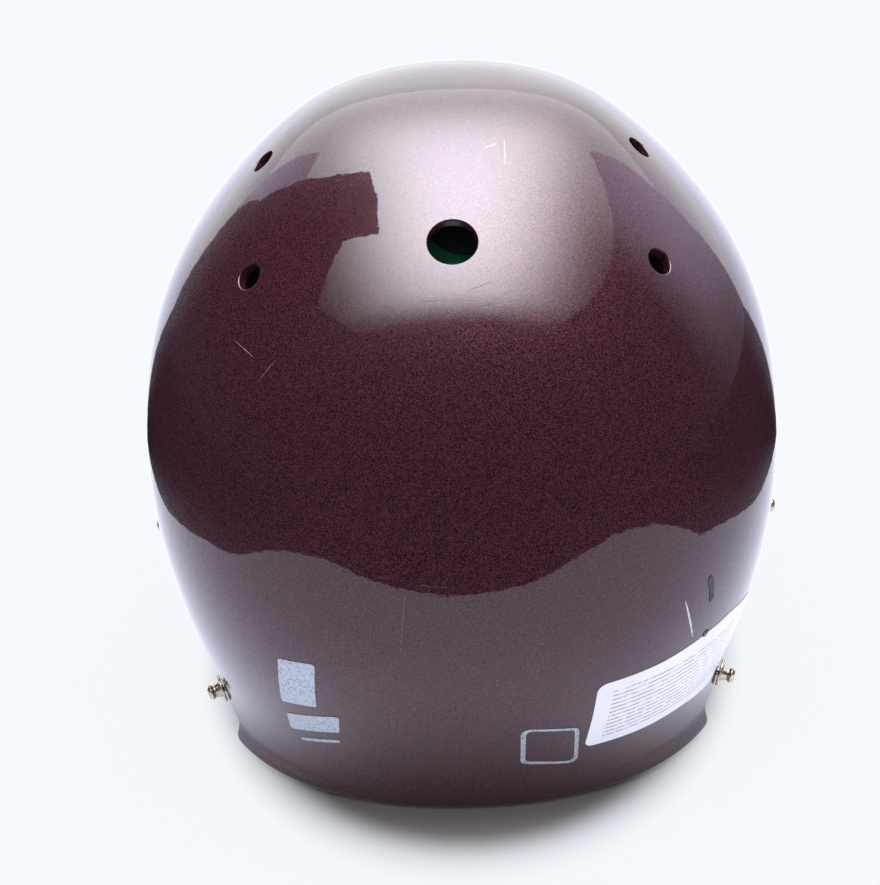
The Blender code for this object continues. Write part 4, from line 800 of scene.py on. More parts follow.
def blow_up(piece, hold):
    """Cloth simulation of a skin under pressure with its seams held, capped, then applied.

    hold is the hold from 0 to 1 of each point of a face. A point on the head's side may move by
    SKIN_SWELL, and one on the shell's side by a third of it.
    """
    held = np.tile(hold, 2)
    start = points_of(piece.data)
    group = piece.vertex_groups.new(name="seam")
    for level in np.unique(held[held > 0]):
        group.add(np.flatnonzero(held == level).tolist(), float(level), "REPLACE")
    skin = piece.modifiers.new("skin", "CLOTH")
    skin.settings.quality = 4
    skin.settings.use_pressure = True
    skin.settings.uniform_pressure_force = SKIN_PRESSURE
    skin.settings.effector_weights.gravity = 0.0
    skin.settings.vertex_group_mass = "seam"
    skin.collision_settings.use_collision = False
    for moment in range(1, SKIN_FRAMES + 1):
        bpy.context.scene.frame_set(moment)
    move = points_of(piece.evaluated_get(bpy.context.evaluated_depsgraph_get()).data) - start
    piece.modifiers.remove(skin)
    bpy.context.scene.frame_set(1)
    length = np.maximum(np.linalg.norm(move, axis=1, keepdims=True), 1e-9)
    cap = np.repeat((SKIN_SWELL / 3, SKIN_SWELL), len(hold))[:, None]
    moved = start + move * np.minimum(1, cap * np.tanh(length / cap) / length)
    piece.data.vertices.foreach_set("co", moved.reshape(-1))
    piece.data.update()
    fine = piece.modifiers.new("smooth_skin", "SUBSURF")
    fine.levels = fine.render_levels = SKIN_LEVELS


def hollow_under(uv, spots):
    """How far a bladder stands back from the shell under its holes: depth * ease(2 - 2 gap / reach)."""
    back_off = np.zeros(np.shape(uv)[:-1])
    for spot, reach, depth in spots:
        gap = np.linalg.norm(shell_surface(uv) - shell_surface(spot), axis=-1)
        back_off = np.maximum(back_off, depth * ease(2 - 2 * gap / reach))
    return back_off


def make_pad(name, degrees, drops, thickness, depth, cells, counts, spots=()):
    """One pad, blown up, with the edge line of its seam for the welt.

    Its two faces swell from a flat web: half thickness is web + (full - web) * fullness.
    """
    a = np.linspace(0, 1, counts[0] + 1)[:, None]
    d = np.linspace(0, 1, counts[1] + 1)[None, :]
    turn = np.radians(sum(degrees) / 2 + (degrees[1] - degrees[0]) / 2 * (2 * a - 1)
                      * (1 - PULL_SHARE * (1 - (2 * d - 1) ** 2)))
    level = sum(drops) / 2 + (drops[1] - drops[0]) / 2 * (2 * d - 1) * (
        1 - PULL_SHARE * (1 - (2 * a - 1) ** 2))
    edge = (1 - np.abs(2 * a - 1) ** 8) * (1 - np.abs(2 * d - 1) ** 8)
    cell = np.minimum(cell_fill(a, cells[0]), cell_fill(d, cells[1]))
    full = np.sqrt(np.clip(edge, 0, 1)) * (1 - GROOVE_SHARE * (1 - cell))
    half = (BLADDER_WEB + (thickness - START_SLACK - BLADDER_WEB) * full) / 2
    middle = depth + thickness / 2
    uv = on_disc(turn, level)
    hold = np.where((a == 0) | (a == 1) | (d == 0) | (d == 1), 1.0, np.where(cell < 0.12, 0.9, 0.0))
    near = np.maximum(middle - half, depth + hollow_under(uv, spots))
    outer, inner = shell_inside(uv, near), shell_inside(uv, np.maximum(middle + half, near + BLADDER_WEB))
    piece = skin_object(name, outer, inner)
    blow_up(piece, hold.reshape(-1))
    return piece, rim_of((outer + inner) / 2)


def mirror_piece(piece, name):
    """The same mesh for the other side, with its faces turned to point out again."""
    twin = bpy.data.objects.new(name, piece.data.copy())
    twin.data.transform(Matrix.Scale(-1, 4, (1, 0, 0)))
    twin.data.flip_normals()
    bpy.context.scene.collection.objects.link(twin)
    for step in piece.modifiers:
        copied = twin.modifiers.new(step.name, step.type)
        copied.levels, copied.render_levels = step.levels, step.render_levels
    return twin


def swept_tube(path, radius, sides, closed=False):
    """Points, quads and triangles of a round tube: path(i) + radius(i) (cos a e(i) + sin a f(i)).

    e is carried along the path without twist. An open tube ends in half balls.
    """
    path = np.asarray(path, float)
    radius = np.broadcast_to(np.asarray(radius, float), (len(path),))
    ahead = np.roll(path, -1, 0) - np.roll(path, 1, 0) if closed else np.gradient(path, axis=0)
    ahead = ahead / np.linalg.norm(ahead, axis=1, keepdims=True)
    if not closed:
        swing = np.linspace(math.pi / 2, 0, 6, endpoint=False)[:, None]
        first = path[0] - ahead[0] * radius[0] * np.sin(swing)
        last = path[-1] + ahead[-1] * radius[-1] * np.sin(swing[::-1])
        shrink = np.maximum(np.cos(swing[:, 0]), 0.02)
        path = np.concatenate([first, path, last])
        radius = np.concatenate([radius[0] * shrink, radius, radius[-1] * shrink[::-1]])
        ahead = np.concatenate([np.repeat(ahead[:1], 6, 0), ahead, np.repeat(ahead[-1:], 6, 0)])
    across_path = np.empty_like(path)
    sideways = np.cross(ahead[0], (0.31, 0.17, 0.94))
    for i, along_path in enumerate(ahead):
        sideways = sideways - along_path * (sideways @ along_path)
        sideways /= np.linalg.norm(sideways)
        across_path[i] = sideways
    other = np.cross(ahead, across_path)
    a = 2 * math.pi * np.arange(sides) / sides
    rings = path[:, None] + radius[:, None, None] * (
        np.cos(a)[None, :, None] * across_path[:, None] + np.sin(a)[None, :, None] * other[:, None])
    index = np.arange(len(path) * sides).reshape(len(path), sides)
    here, after = (index, np.roll(index, -1, 0)) if closed else (index[:-1], index[1:])
    quads = np.stack([here, np.roll(here, -1, 1), np.roll(after, -1, 1), after], -1).reshape(-1, 4)
    points = rings.reshape(-1, 3)
    if closed:
        return points, quads, np.zeros((0, 3), int)
    foot, tip = np.full(sides, len(points)), np.full(sides, len(points) + 1)
    triangles = np.concatenate([np.stack([np.roll(index[0], -1), index[0], foot], 1),
                                np.stack([index[-1], np.roll(index[-1], -1), tip], 1)])
    return np.concatenate([points, path[:1], path[-1:]]), quads, triangles


def join_parts(name, parts):
    """One mesh object from several sets of points, quads and triangles."""
    points, quads, triangles = zip(*parts)
    shift = np.cumsum([0] + [len(some) for some in points])
    faces = [np.concatenate([some + n for some, n in zip(sets, shift)]) for sets in (quads, triangles)]
    return link_mesh(name, np.concatenate(points), *faces)


def pad_vinyl():
    """Black vinyl cloth over foam: a leather grain of cells about 1 mm across, duller where heads
    and sweat have worn it.
    """
    made = patchy_material("black_grained_vinyl", {"Specular IOR Level": 0.45}, (30.0, 4.0),
                           (0.32, "#17171a", 0.75, "#28282c"), (0.3, 0.75, 0.42, 0.62))
    tree = made.node_tree
    cells = add_node(tree, "ShaderNodeTexVoronoi", {"Vector": place_in(tree), "Scale": 1000.0},
                     feature="DISTANCE_TO_EDGE").outputs[0]
    crease = remapped(tree, cells, 0.0, 0.16)
    return with_sockets(made, {"Normal": bumped(tree, crease, 0.45, 0.00012)})


# Urethane film in bright green, heat welded: smooth, slightly cloudy and wet looking, with a fine
# grain from its mould
green_film = patchy_material(
    "green_urethane_film",
    {"Roughness": 0.34, "Coat Weight": 0.35, "Coat Roughness": 0.12, "Subsurface Weight": 0.05},
    (38.0, 4.0), (0.30, "#1f6f56", 0.72, "#2f9873"), grain=(900.0, 0.25, 0.0002))
black_vinyl = pad_vinyl()


def finish_pad(piece, material, slot, fill, *nodes):
    finish_piece(piece, material, slot, *nodes)


# Crown bladder: a round centre cell in a ring of eight petals
CROWN_EDGE, CROWN_CELL, PETALS = 0.150, 0.060, 8
CROWN_SCALLOP = 0.06
turn = np.linspace(0, 2 * math.pi, 128, endpoint=False)[:, None]
along = np.linspace(0, 1, 27)[None, :]
petal = cell_fill(turn * PETALS / (2 * math.pi) + 0.5, 1, 4)
drop = along * CROWN_EDGE * (1 - CROWN_SCALLOP * (1 - petal))
ring_share = np.clip((drop - CROWN_CELL) / (CROWN_EDGE - CROWN_CELL), 0, 1)
centre_fill = np.clip(1 - (drop / CROWN_CELL) ** 6, 0, 1)
petal_fill = np.where(drop > CROWN_CELL, (1 - np.abs(2 * ring_share - 1) ** 5) * petal, 0)
cell = np.maximum(centre_fill, petal_fill)
full = np.sqrt(np.clip(1 - along ** 10, 0, 1)) * (1 - GROOVE_SHARE * (1 - cell))
half = (BLADDER_WEB + (BLADDER_THICKNESS - START_SLACK - BLADDER_WEB) * full) / 2
half[:, 0] = half[0, 0]
depth = PAD_DEPTH + BLADDER_THICKNESS / 2
uv = on_disc(turn, np.maximum(drop, 1e-5))
crown_pad = skin_object("crown_bladder", shell_inside(uv, depth - half), shell_inside(uv, depth + half), True)
hold = np.where(along == 1, 1.0, np.where(cell < 0.10, 0.9, 0.0))
blow_up(crown_pad, np.concatenate([hold[:1, 0], hold[:, 1:].reshape(-1)]))
finish_pad(crown_pad, green_film, "green_liner", 0.8, "crown_pad")

# Rear bladder, which stands back from the shell under the rear hole and the lower vents
AIR_SPACE = REAR_HOLE + (-0.004, -0.036)
air_holes = [(AIR_SPACE, 0.036, 0.0165), (LOWER_VENT, 0.028, 0.0135), (mirrored(LOWER_VENT), 0.028, 0.0135)]
rear_liner, _ = make_pad("rear_bladder", (-62.0, 62.0), (0.162, 0.63), BLADDER_THICKNESS, PAD_DEPTH,
                         (5, 2), (96, 40), air_holes)
finish_pad(rear_liner, green_film, "green_liner", 0.8, "rear_liner")

# Side, brow, nape and jaw pads, each with a welt round its seam: turns and drops of its edges,
# thickness, depth of its face, cells and grid. None of them reaches the table
STRAP_DROP = float(np.hypot(*STRAP_PLACE))
NAPE_LOW = float(np.hypot(*edge_by_turn(np.array([0.0]), lambda y: 0.0)[0])) + 0.0122
nape_drops = (float(np.hypot(*at_width(0.0, 0.052, 0))), NAPE_LOW)
jaw_degrees = [np.degrees(np.arctan2(*at_side(*at))) for at in ((-0.046, 0.0275, 110), (-0.094, 0.0275, 140))]
jaw_drops = [float(np.hypot(*at_side(-0.070, z, 125))) for z in (0.046, 0.009)]
brow_drops = (STRAP_DROP - 0.166, STRAP_DROP)
for name, node, *measures in (
        ("side_pad", "side_pad_left", (66.0, 112.0), (0.30, 0.53), 0.017, PAD_DEPTH, (2, 1), (40, 26)),
        ("brow_pad", "brow_pad", (134.0, 226.0), brow_drops, 0.018, 0.0054, (3, 1), (72, 20)),
        ("neck_pad", "neck_pad", (-44.0, 44.0), nape_drops, 0.017, PAD_DEPTH, (3, 1), (66, 22)),
        ("jaw_pad", "jaw_pad_left", jaw_degrees, jaw_drops, 0.019, 0.0065, (1, 1), (24, 20))):
    piece, seam = make_pad(name + "_cushion", *measures)
    points = points_of(piece.data)
    points[:, 2] = np.maximum(points[:, 2], TABLE_GAP)
    piece.data.vertices.foreach_set("co", points.reshape(-1))
    seam[:, 2] = np.maximum(seam[:, 2], WELT_RADIUS + TABLE_GAP)
    welt = join_parts(name + "_welt", [swept_tube(seam, WELT_RADIUS, 10, closed=True)])
    finish_piece(welt, black_vinyl, "black_vinyl")
    finish_pad(piece, black_vinyl, "black_vinyl", 0.7, node)
    if node.endswith("left"):
        finish_pad(mirror_piece(piece, name + "_cushion_right"), black_vinyl, "black_vinyl", 0.7,
                   node.replace("left", "right"))
        finish_piece(mirror_piece(welt, name + "_welt_right"), black_vinyl, "black_vinyl")


# Face guard: steel wire bent cold, its bars welded on, then dipped in black vinyl that fills the
# corners round each weld. It hangs by its brow bar in the two straps.
WIRE_RADIUS = 0.0032
WIRE_SIDES, WIRE_STEP = 20, 0.003
HINGE_HEIGHT = 0.137
HINGE_PLACE = CROWN_AXIS - FRONT_REACH - 0.0062
SADDLE = np.array([-0.019, 0.0, 0.0066])
POST_SIDE = 0.027
BAR_BEND = 0.045
BEAD_OFFSET = 0.75 * WIRE_RADIUS
BEAD_STEPS = 13
clip_seat = seat(CLIP_PLACE)
grip = clip_seat[:, :3] @ SADDLE + clip_seat[:, 3]
rise = clip_seat[:, 1]


def ahead_of(x, reach, z):
    """A point this far forward of the crown axis."""
    return (x, CROWN_AXIS - reach, z)


# Half of the outer wire, from the brow to the chin: corners and the radius of each bend
loop_half = fillet_path([
    ((0, HINGE_PLACE, HINGE_HEIGHT), 0), ((0.060, HINGE_PLACE, HINGE_HEIGHT), 0.038),
    (ahead_of(0.1085, 0.616 * FRONT_REACH, HINGE_HEIGHT), 0.016), (tuple(grip + rise * 0.026), 0.024),
    (tuple(grip - rise * 0.019), 0.011), (ahead_of(0.080, FRONT_REACH, 0.031), 0.045),
    (ahead_of(0.040, FRONT_REACH + 0.050, 0.031), 0.045), (ahead_of(0, FRONT_REACH + 0.050, 0.031), 0)], 14)


def cross_bar(side_height, reach, height):
    """Half of a cross bar, from its weld on the side wire to the middle."""
    z = loop_half[:, 2]
    i = np.flatnonzero((z[:-1] >= side_height) & (z[1:] < side_height))[0]
    share = (z[i] - side_height) / (z[i] - z[i + 1])
    weld = loop_half[i] + (loop_half[i + 1] - loop_half[i]) * share
    corners = (weld, ahead_of(0.088, FRONT_REACH + 0.004, (side_height + height) / 2),
               ahead_of(0.046, FRONT_REACH + reach, height), ahead_of(0, FRONT_REACH + reach, height))
    return fillet_path([(corner, BAR_BEND) for corner in corners], 14)


def wire(points, spacing=WIRE_STEP, closed=False):
    """A tube of wire along a path."""
    path = even_path(points, spacing)
    return swept_tube(path[:-1] if closed else path, WIRE_RADIUS, WIRE_SIDES, closed)


def both_halves(points):
    """A half path that ends on the middle plane, carried on to the other side."""
    return np.concatenate([points, points[-2::-1] * (-1, 1, 1)])


def at_post(points):
    """Where a half path passes the upright post."""
    order = points[::-1]
    return [np.interp(POST_SIDE, order[:, 0], order[:, k]) for k in range(3)]


bars = [cross_bar(0.096, 0.054, 0.088), cross_bar(0.074, 0.061, 0.060)]
chin = loop_half[loop_half[:, 2] < 0.04]
guard_parts = [wire(both_halves(loop_half), closed=True)] + [wire(both_halves(bar)) for bar in bars]
joins = []
for side in (1, -1):
    flip = np.array((side, 1, 1))
    meets = np.array([at_post(bar) for bar in (*bars, chin)]) * flip
    post = meets + (0, 2 * BEAD_OFFSET, 0)
    post[0, 2] += WIRE_RADIUS
    post[-1, 2] -= WIRE_RADIUS
    guard_parts.append(wire(post, 0.004))
    joins += [(meet + (0, BEAD_OFFSET, 0), np.array((1, 0, 0)), 0.0060, 0.0046) for meet in meets]
    for bar in bars:
        along = (bar[3] - bar[0]) / np.linalg.norm(bar[3] - bar[0]) * flip
        joins.append((bar[0] * flip + along * 0.0034, along, 0.0030, 0.0044))
for centre, along, reach, radius in joins:
    swell = np.sqrt(np.clip(1 - np.linspace(-0.97, 0.97, BEAD_STEPS) ** 2, 0, 1))
    wave = 1 + 0.04 * np.sin(np.linspace(0, 6 * math.pi, BEAD_STEPS))
    bead = centre + np.outer(np.linspace(-1, 1, BEAD_STEPS), along) * reach
    guard_parts.append(swept_tube(bead, swell * wave * radius, WIRE_SIDES))
guard = join_parts("wire_guard", guard_parts)

# Vinyl dip on steel wire: satin black with soft runs, and rubbed paler along its outside
dipped_vinyl = patchy_material("dipped_black_vinyl", {}, (60.0, 6.0), (0.40, "#131315", 0.78, "#303035"),
                               (0.35, 0.75, 0.27, 0.5), (220.0, 0.3, 0.0004))
finish_piece(guard, dipped_vinyl, "coated_wire", "face_guard", body="guard")


# Brow straps, side clips and bumper: injection moulded plastic with small rounds on every edge
def softened(node, width):
    """A copy of a CAD node: its doubles merged, flat faces joined and every sharp edge rounded."""
    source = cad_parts[node]
    made = bpy.data.objects.new("moulded_" + node, source.data.copy())
    bpy.context.scene.collection.objects.link(made)
    tidy = bmesh.new()
    tidy.from_mesh(made.data)
    bmesh.ops.remove_doubles(tidy, verts=tidy.verts, dist=2e-5)
    bmesh.ops.dissolve_limit(tidy, angle_limit=math.radians(3), verts=tidy.verts, edges=tidy.edges)
    tidy.to_mesh(made.data)
    tidy.free()
    made.data.shade_smooth()
    edge = made.modifiers.new("edge_round", "BEVEL")
    edge.width = width
    edge.segments = 3
    edge.limit_method = "ANGLE"
    edge.angle_limit = math.radians(35)
    edge.use_clamp_overlap = True
    edge.harden_normals = True
    return made


def moulded_plastic(name, dark, light, grain):
    """Moulded plastic: a fine spark-eroded grain, satin, with paler scuffs in patches."""
    return patchy_material(name, {}, (150.0, 5.0), (0.38, dark, 0.80, light), (0.3, 0.8, 0.38, 0.6),
                           (grain, 0.3, 0.00015))


strap_nylon = moulded_plastic("black_moulded_nylon", "#1b1b1e", "#3c3c41", 1600.0)
bumper_rubber = moulded_plastic("black_moulded_rubber", "#18181a", "#2c2c2f", 900.0)
for node in ("brow_strap_left", "brow_strap_right", "side_clip_left", "side_clip_right"):
    finish_piece(softened(node, 0.0005), strap_nylon, "strap_plastic", node)
finish_piece(softened("front_bumper", 0.0009), bumper_rubber, "black_rubber", "front_bumper")


# Screws, nuts, studs and snaps: turned from rod and plated, each with the recess that drives it
LATHE_SIDES = 64
LATHE_STEP = 0.0002
CORNER_ROUND = 0.0003
RECESS_SOFTNESS = 0.00022
STUD_OUTLINE = ((0, 0.0062), (0.0019, 0.0062), (0.0031, 0.00488), (0.0024, 0.00355), (0.0031, 0.0012),
                (0.0055, 0.0009), (0.0055, 0), (0.0018, 0), (0.0018, 0.0029), (0, 0.0029))


def lathed(name, corners, place, drive=None, ring=False):
    """A piece turned round a frame's Z: points (r cos a, r sin a, z) for each (r, z) of its outline.

    The outline starts at the top of the axis and ends at its foot, or closes on itself for a
    ring. drive is the reach, width and depth of a cross in the top face, or of a slot where its
    last value is False: it lies where the nearer of |x| and |y| is less than half its width.
    """
    outline = fillet_path([(corner, CORNER_ROUND) for corner in corners], 5, closed=ring)
    if ring:
        outline = np.concatenate([outline, outline[:1]])
    outline = even_path(outline, LATHE_STEP)[:-1 if ring else None]
    a = 2 * math.pi * np.arange(LATHE_SIDES) / LATHE_SIDES
    r, z = outline[:, 0, None], np.repeat(outline[:, 1, None], LATHE_SIDES, 1)
    x, y = r * np.cos(a), r * np.sin(a)
    if drive:
        reach, width, depth, crossed = drive
        beside = np.minimum(np.abs(x), np.abs(y)) if crossed else np.abs(y)
        cut = np.clip((width / 2 - beside) / RECESS_SOFTNESS, 0, 1)
        cut = cut * np.clip((reach - np.maximum(np.abs(x), np.abs(y))) / RECESS_SOFTNESS, 0, 1)
        z = np.where(z > outline[:, 1].max() - depth, z - cut * depth, z)
    local = np.stack([x, y, z], -1).reshape(-1, 3)
    index = np.arange(len(local)).reshape(z.shape)
    ends = []
    if ring:
        here, after = index, np.roll(index, -1, 0)
    else:
        here, after = index[1:-2], index[2:-1]
        ends = [np.stack([0 * index[1], index[1], np.roll(index[1], -1)], 1),
                np.stack([index[-2], 0 * index[1] + len(local) - 1, np.roll(index[-2], -1)], 1)]
    quads = np.stack([here, after, np.roll(after, -1, 1), np.roll(here, -1, 1)], -1).reshape(-1, 4)
    return link_mesh(name, local @ place[:, :3].T + place[:, 3], quads, *ends)


def plated_metal(name, dull, bright, low, high):
    """Bright plating on turned metal: it clouds and greys in patches as it wears, and keeps the
    fine lines of the tool.
    """
    return patchy_material(name, {"Metallic": 1.0}, (420.0, 5.0), (0.30, dull, 0.66, bright),
                           (0.3, 0.7, high, low), (2600.0, 0.12, 0.0001))


def seat_on(side, uv):
    """The frame at a place on the left, 1, or right, -1, of the helmet."""
    return seat(uv if side > 0 else mirrored(uv))


def fastener(name, node, side, metal, place, corners, drive=None, inwards=False, ring=False):
    """A turned fastener on one side, with its head out of the shell, or inside it."""
    tag = "_left" if side > 0 else "_right"
    piece = lathed(name + tag, corners, place * np.array((-1, 1, -1, 1)) if inwards else place, drive, ring)
    finish_piece(piece, metal, "zinc_steel" if metal == zinc else "nickel_brass", node + tag)


zinc = plated_metal("zinc_plated_steel", "#85898e", "#c6c9cd", 0.24, 0.46)
nickel = plated_metal("nickel_plated_brass", "#a3957a", "#e0d6c2", 0.18, 0.40)
strap_out = shell_outward(STRAP_PLACE) * (0, 1, 1)
strap_out /= np.linalg.norm(strap_out)
strap_down = -np.cross(strap_out, (1, 0, 0))
for side in (1, -1):
    strap_seat = np.stack([(1, 0, 0), strap_down, strap_out, shell_surface(STRAP_PLACE) * (side, 1, 1)], 1)
    clip_place = seat_on(side, CLIP_PLACE)
    for name, place, head, tip, flange in (("brow_strap", strap_seat, 0.0059, -0.00642, -0.00662),
                                           ("side_clip", clip_place, 0.0048, -0.00457, -0.00477)):
        fastener(name + "_machine_screw", name + "_screw", side, zinc, place, (
            (0, head + 0.0022), (0.0023, head + 0.0022), (0.0046, head + 0.00073), (0.0046, head),
            (0.0020, head), (0.0020, tip), (0, tip)), (0.0026, 0.0010, 0.0012, True))
        fastener(name + "_barrel_nut", name + "_nut", side, zinc, place, (
            (0.0023, 0.0013 - flange), (0.0068, 0.0013 - flange), (0.0068, -flange), (0.0032, -flange),
            (0.0032, 0.0003), (0.0023, 0.0003)), (0.0070, 0.0012, 0.0006, False), inwards=True, ring=True)
    for name, uv, rest, head in (("lower", LOWER_STUD, 0.00055, -0.00468),
                                 ("upper", UPPER_STUD, 0.0003, -0.00463)):
        fastener(name + "_snap_stud", name + "_strap_stud", side, nickel, seat_on(side, uv),
                 [(r, z + rest) for r, z in STUD_OUTLINE])
        fastener(name + "_inner_screw", name + "_stud_screw", side, zinc, seat_on(side, uv), (
            (0, 0.0014 - head), (0.0030, 0.0014 - head), (0.0040, -head), (0.0015, -head), (0.0015, -0.0026),
            (0, -0.0026)), (0.0022, 0.0008, 0.0009, True), inwards=True)
    for name, uv, inside in (("front", SNAP_FRONT, -0.00474), ("rear", SNAP_REAR, -0.00469)):
        fastener(name + "_pad_snap", "jaw_pad_snap_" + name, side, nickel, seat_on(side, uv), (
            (0, 0.0012), (0.0027, 0.0012), (0.0036, 0.0003), (0.0015, 0.0003), (0.0015, inside),
            (0.0048, inside), (0.0048, inside - 0.0019), (0, inside - 0.0019)))
    fastener("brow_bumper_screw", "bumper_screw", side, zinc, seat_on(side, BUMPER_SCREW), (
        (0, 0.0052), (0.0021, 0.0052), (0.0028, 0.0040), (0.0013, 0.0040), (0.0013, -0.0040),
        (0, -0.0040)), (0.0017, 0.0007, 0.0008, True))


# Painted shade behind the holes: dark pieces of black open cell foam glued into the bladder's hollows, a cup
# under each lower vent and a disc under part of the rear hole, put there to make those holes look dark.
FOAM_SIDE, FOAM_WALL, FOAM_DEPTH, FOAM_TOP = 0.0100, 0.0020, 0.0176, 0.0046
FOAM_DISC, DISC_TOP, DISC_FOOT = 0.0125, 0.0186, 0.0210
DISC_PLACE = REAR_HOLE + (-0.013, -0.052)


def painted_shade_foam():
    """Open cell foam in black, put behind the holes as painted shade: dull, with pores of about 0.6 mm that
    swallow the light.
    """
    made, tree, place = new_material("painted_shade_open_cell_foam")
    pores = add_node(tree, "ShaderNodeTexVoronoi", {"Vector": place, "Scale": 1700.0}).outputs[0]
    return with_sockets(made, {
        "Roughness": 0.95, "Specular IOR Level": 0.2, "Normal": bumped(tree, pores, 0.6, 0.0004),
        "Base Color": tinted(tree, pores, 0.10, "#191924", 0.60, "#3a3a48")})


hole_shade = painted_shade_foam()
hollow = FOAM_SIDE - FOAM_WALL
cup = ((0, FOAM_WALL - FOAM_DEPTH), (hollow, FOAM_WALL - FOAM_DEPTH), (hollow, -FOAM_TOP),
       (FOAM_SIDE, -FOAM_TOP), (FOAM_SIDE, -FOAM_DEPTH), (0, -FOAM_DEPTH))
left_cup = finish_piece(lathed("vent_foam_left", cup, seat(LOWER_VENT)), hole_shade, "black_vinyl")
finish_piece(mirror_piece(left_cup, "vent_foam_right"), hole_shade, "black_vinyl")
disc = ((0, -DISC_TOP), (FOAM_DISC, -DISC_TOP), (FOAM_DISC, -DISC_FOOT), (0, -DISC_FOOT))
finish_piece(lathed("rear_hole_shade_foam", disc, seat(DISC_PLACE)), hole_shade, "black_vinyl")


# Printed places at the back: a blank ruled label of white vinyl, and two plain marks in silver
# ink. Each is a thin film that follows the shell. Knocks and rubs from play are beside them.
TURN_SPAN = 0.48
FILM_TOP, FILM_FOOT = -0.00016, -0.00003
FILM_EDGE = 0.00004
RULE_STEP, RULE_HALF = 0.0022, 0.00034
RULES_TURN = (math.radians(-58), math.radians(-50), math.radians(-23))
RULES_HEIGHT = (0.0325, 0.0580)


def patch_loop(corner_round, *corners):
    """A closed loop on the disc through corners given as turns in degrees and drops, rounded."""
    spots = [((math.radians(turn) * TURN_SPAN, drop), corner_round) for turn, drop in corners]
    path = fillet_path(spots, 6, closed=True)
    path = even_path(np.concatenate([path, path[:1]]), 0.004)[:-1]
    return on_disc(path[:, 0] / TURN_SPAN, path[:, 1])


def ruled_vinyl():
    """White vinyl label with plain grey rules: glossy film, faintly yellowed in patches. A rule
    lies where the height above the table is near a whole step. It is broken into lengths by a
    noise, and ends raggedly towards the side of the helmet.
    """
    made, tree, place = new_material("white_label_vinyl")
    x, y, height = add_node(tree, "ShaderNodeSeparateXYZ", {0: place}).outputs
    turn = computed(tree, "ARCTAN2", x, computed(tree, "SUBTRACT", y, CROWN_AXIS))
    rule = computed(tree, "LESS_THAN", computed(tree, "PINGPONG", height, RULE_STEP / 2), RULE_HALF)
    row = computed(tree, "SNAP", height, RULE_STEP)
    rowed = add_node(tree, "ShaderNodeCombineXYZ", {2: row}).outputs[0]
    last = remapped(tree, noise(tree, rowed, 900.0, 2.0), 0.3, 0.7, *RULES_TURN[:2])
    along = add_node(tree, "ShaderNodeCombineXYZ", {0: turn, 2: row}).outputs[0]
    along = add_node(tree, "ShaderNodeMapping", {"Vector": along, "Scale": (55.0, 1.0, 2300.0)}).outputs[0]
    limits = [("GREATER_THAN", noise(tree, along, 1.0, 0.0), 0.40), ("GREATER_THAN", turn, last),
              ("LESS_THAN", turn, RULES_TURN[2]), ("GREATER_THAN", height, RULES_HEIGHT[0]),
              ("LESS_THAN", height, RULES_HEIGHT[1])]
    faded = product(tree, rule, *[computed(tree, *limit) for limit in limits], 0.80)
    film = tinted(tree, noise(tree, place, 60.0, 3.0), 0.35, "#f3f3f6", 0.65, "#fdfdff")
    return with_sockets(made, {"Roughness": 0.32, "Coat Weight": 0.3, "Coat Roughness": 0.1,
                               "Base Color": blended(tree, faded, film, linear("#8b8b93"))})


def film_piece(name, material, spacing, *loops):
    """A printed film or label on the shell."""
    piece = curved_plate(name, loops, [FILM_EDGE] * len(loops), FILM_TOP, FILM_FOOT, spacing)
    return finish_piece(piece, material, "maroon_paint")


def rub_marks(name, material, *marks):
    """Low ridges along lines on the shell, each from a width in metres and points (turn, drop)."""
    parts = []
    for width, *points in marks:
        turns, drops = np.array(points).T
        flat = even_path(on_disc(np.radians(turns), drops), 0.004)
        taper = np.sqrt(np.clip(1 - np.linspace(-0.98, 0.98, len(flat)) ** 2, 0, 1))
        radius = width / 2 * np.maximum(taper, 0.15)
        parts.append(swept_tube(shell_inside(flat, radius * 0.75), radius, 8))
    return finish_piece(join_parts(name, parts), material, "maroon_paint")


def rubbed_paint(name, dark, light):
    """Paint scraped by a knock: chalky, rough and uneven."""
    return patchy_material(name, {"Roughness": 0.7}, (700.0, 4.0), (0.35, dark, 0.65, light))


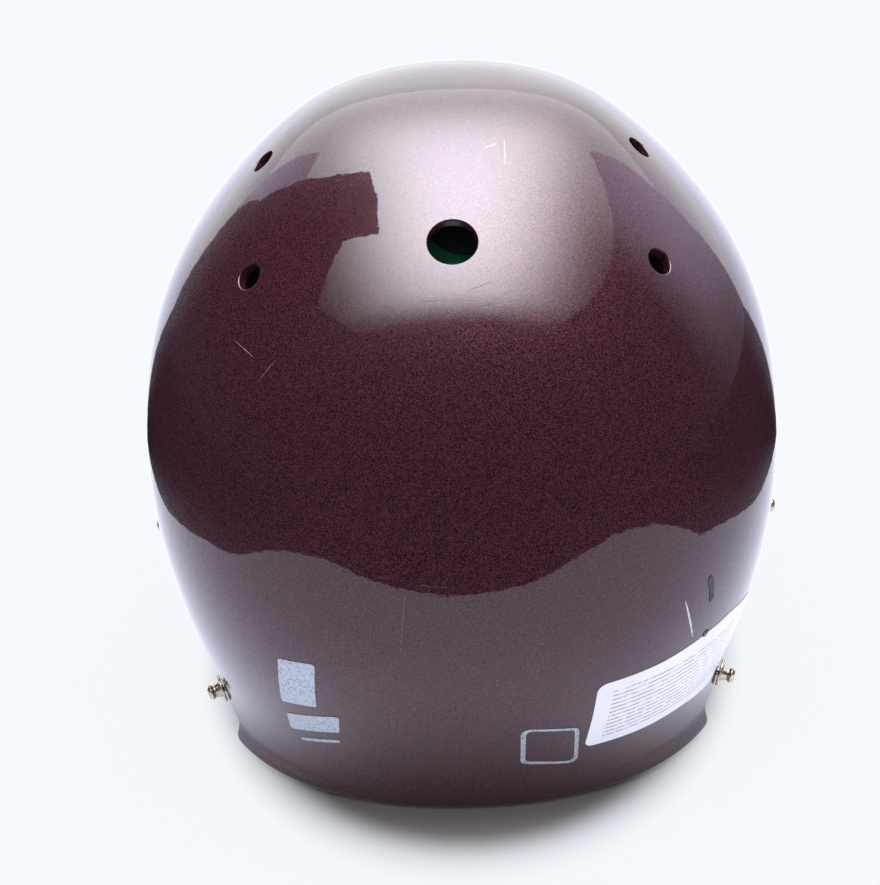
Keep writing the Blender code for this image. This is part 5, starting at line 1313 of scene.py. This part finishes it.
# Silver screen ink: thin, dull, with tiny gaps where it has rubbed away
silver = patchy_material("silver_screen_ink", {"Metallic": 0.35, "Roughness": 0.42}, (1500.0, 4.0),
                         (0.34, "#757a83", 0.50, "#b9c3cd"))
film_piece("blank_ruled_label", ruled_vinyl(), 0.012, patch_loop(
    0.014, (-20.0, 0.709), (-31.5, 0.708), (-42.0, 0.702), (-50.0, 0.703), (-63.0, 0.724), (-55.0, 0.864),
    (-42.5, 0.850), (-31.5, 0.850), (-20.0, 0.847)))
film_piece("silver_block", silver, 0.012,
           patch_loop(0.003, (30.2, 0.670), (23.3, 0.660), (25.0, 0.748), (32.4, 0.760)))
film_piece("silver_bar", silver, 0.008,
           patch_loop(0.003, (32.4, 0.786), (21.2, 0.758), (22.2, 0.796), (33.4, 0.826)))
film_piece("silver_line", silver, 0.008,
           patch_loop(0.002, (31.8, 0.842), (22.8, 0.816), (23.0, 0.824), (32.1, 0.850)))
film_piece("silver_frame", silver, 0.008,
           patch_loop(0.012, (-8.0, 0.772), (-18.0, 0.790), (-19.6, 0.888), (-8.6, 0.864)),
           patch_loop(0.008, (-8.9, 0.778), (-17.3, 0.794), (-18.7, 0.880), (-9.4, 0.858)))
rub_marks("pale_scratches", rubbed_paint("scraped_paint", "#c9c2c8", "#f2eef2"),
          (0.0014, (-35.2, 0.614), (-36.6, 0.650), (-38.2, 0.690)),
          (0.0006, (-24.0, 0.120), (-19.0, 0.150)), (0.0009, (-13.0, 0.128), (-20.0, 0.124)))
rub_marks("faint_scratches", rubbed_paint("dull_scratch", "#5d3f49", "#8d7680"),
          (0.0004, (10.0, 0.048), (-10.0, 0.052)), (0.0004, (-28.0, 0.058), (-44.0, 0.066)),
          (0.0003, (8.5, 0.534), (9.1, 0.575), (9.5, 0.612)), (0.0004, (-3.0, 0.268), (-8.0, 0.262)),
          (0.0004, (44.0, 0.345), (38.0, 0.352)), (0.0003, (36.0, 0.372), (33.0, 0.345)))
scuff = rubbed_paint("rubber_scuff", "#3b343c", "#5b505a")
film_piece("scuff_1", scuff, 0.006, patch_loop(
    0.006, (-40.3, 0.600), (-41.3, 0.596), (-42.1, 0.612), (-42.4, 0.640), (-41.4, 0.647), (-41.0, 0.622)))
film_piece("scuff_2", scuff, 0.006,
           patch_loop(0.006, (-41.0, 0.698), (-42.6, 0.694), (-43.0, 0.704), (-41.4, 0.708)))
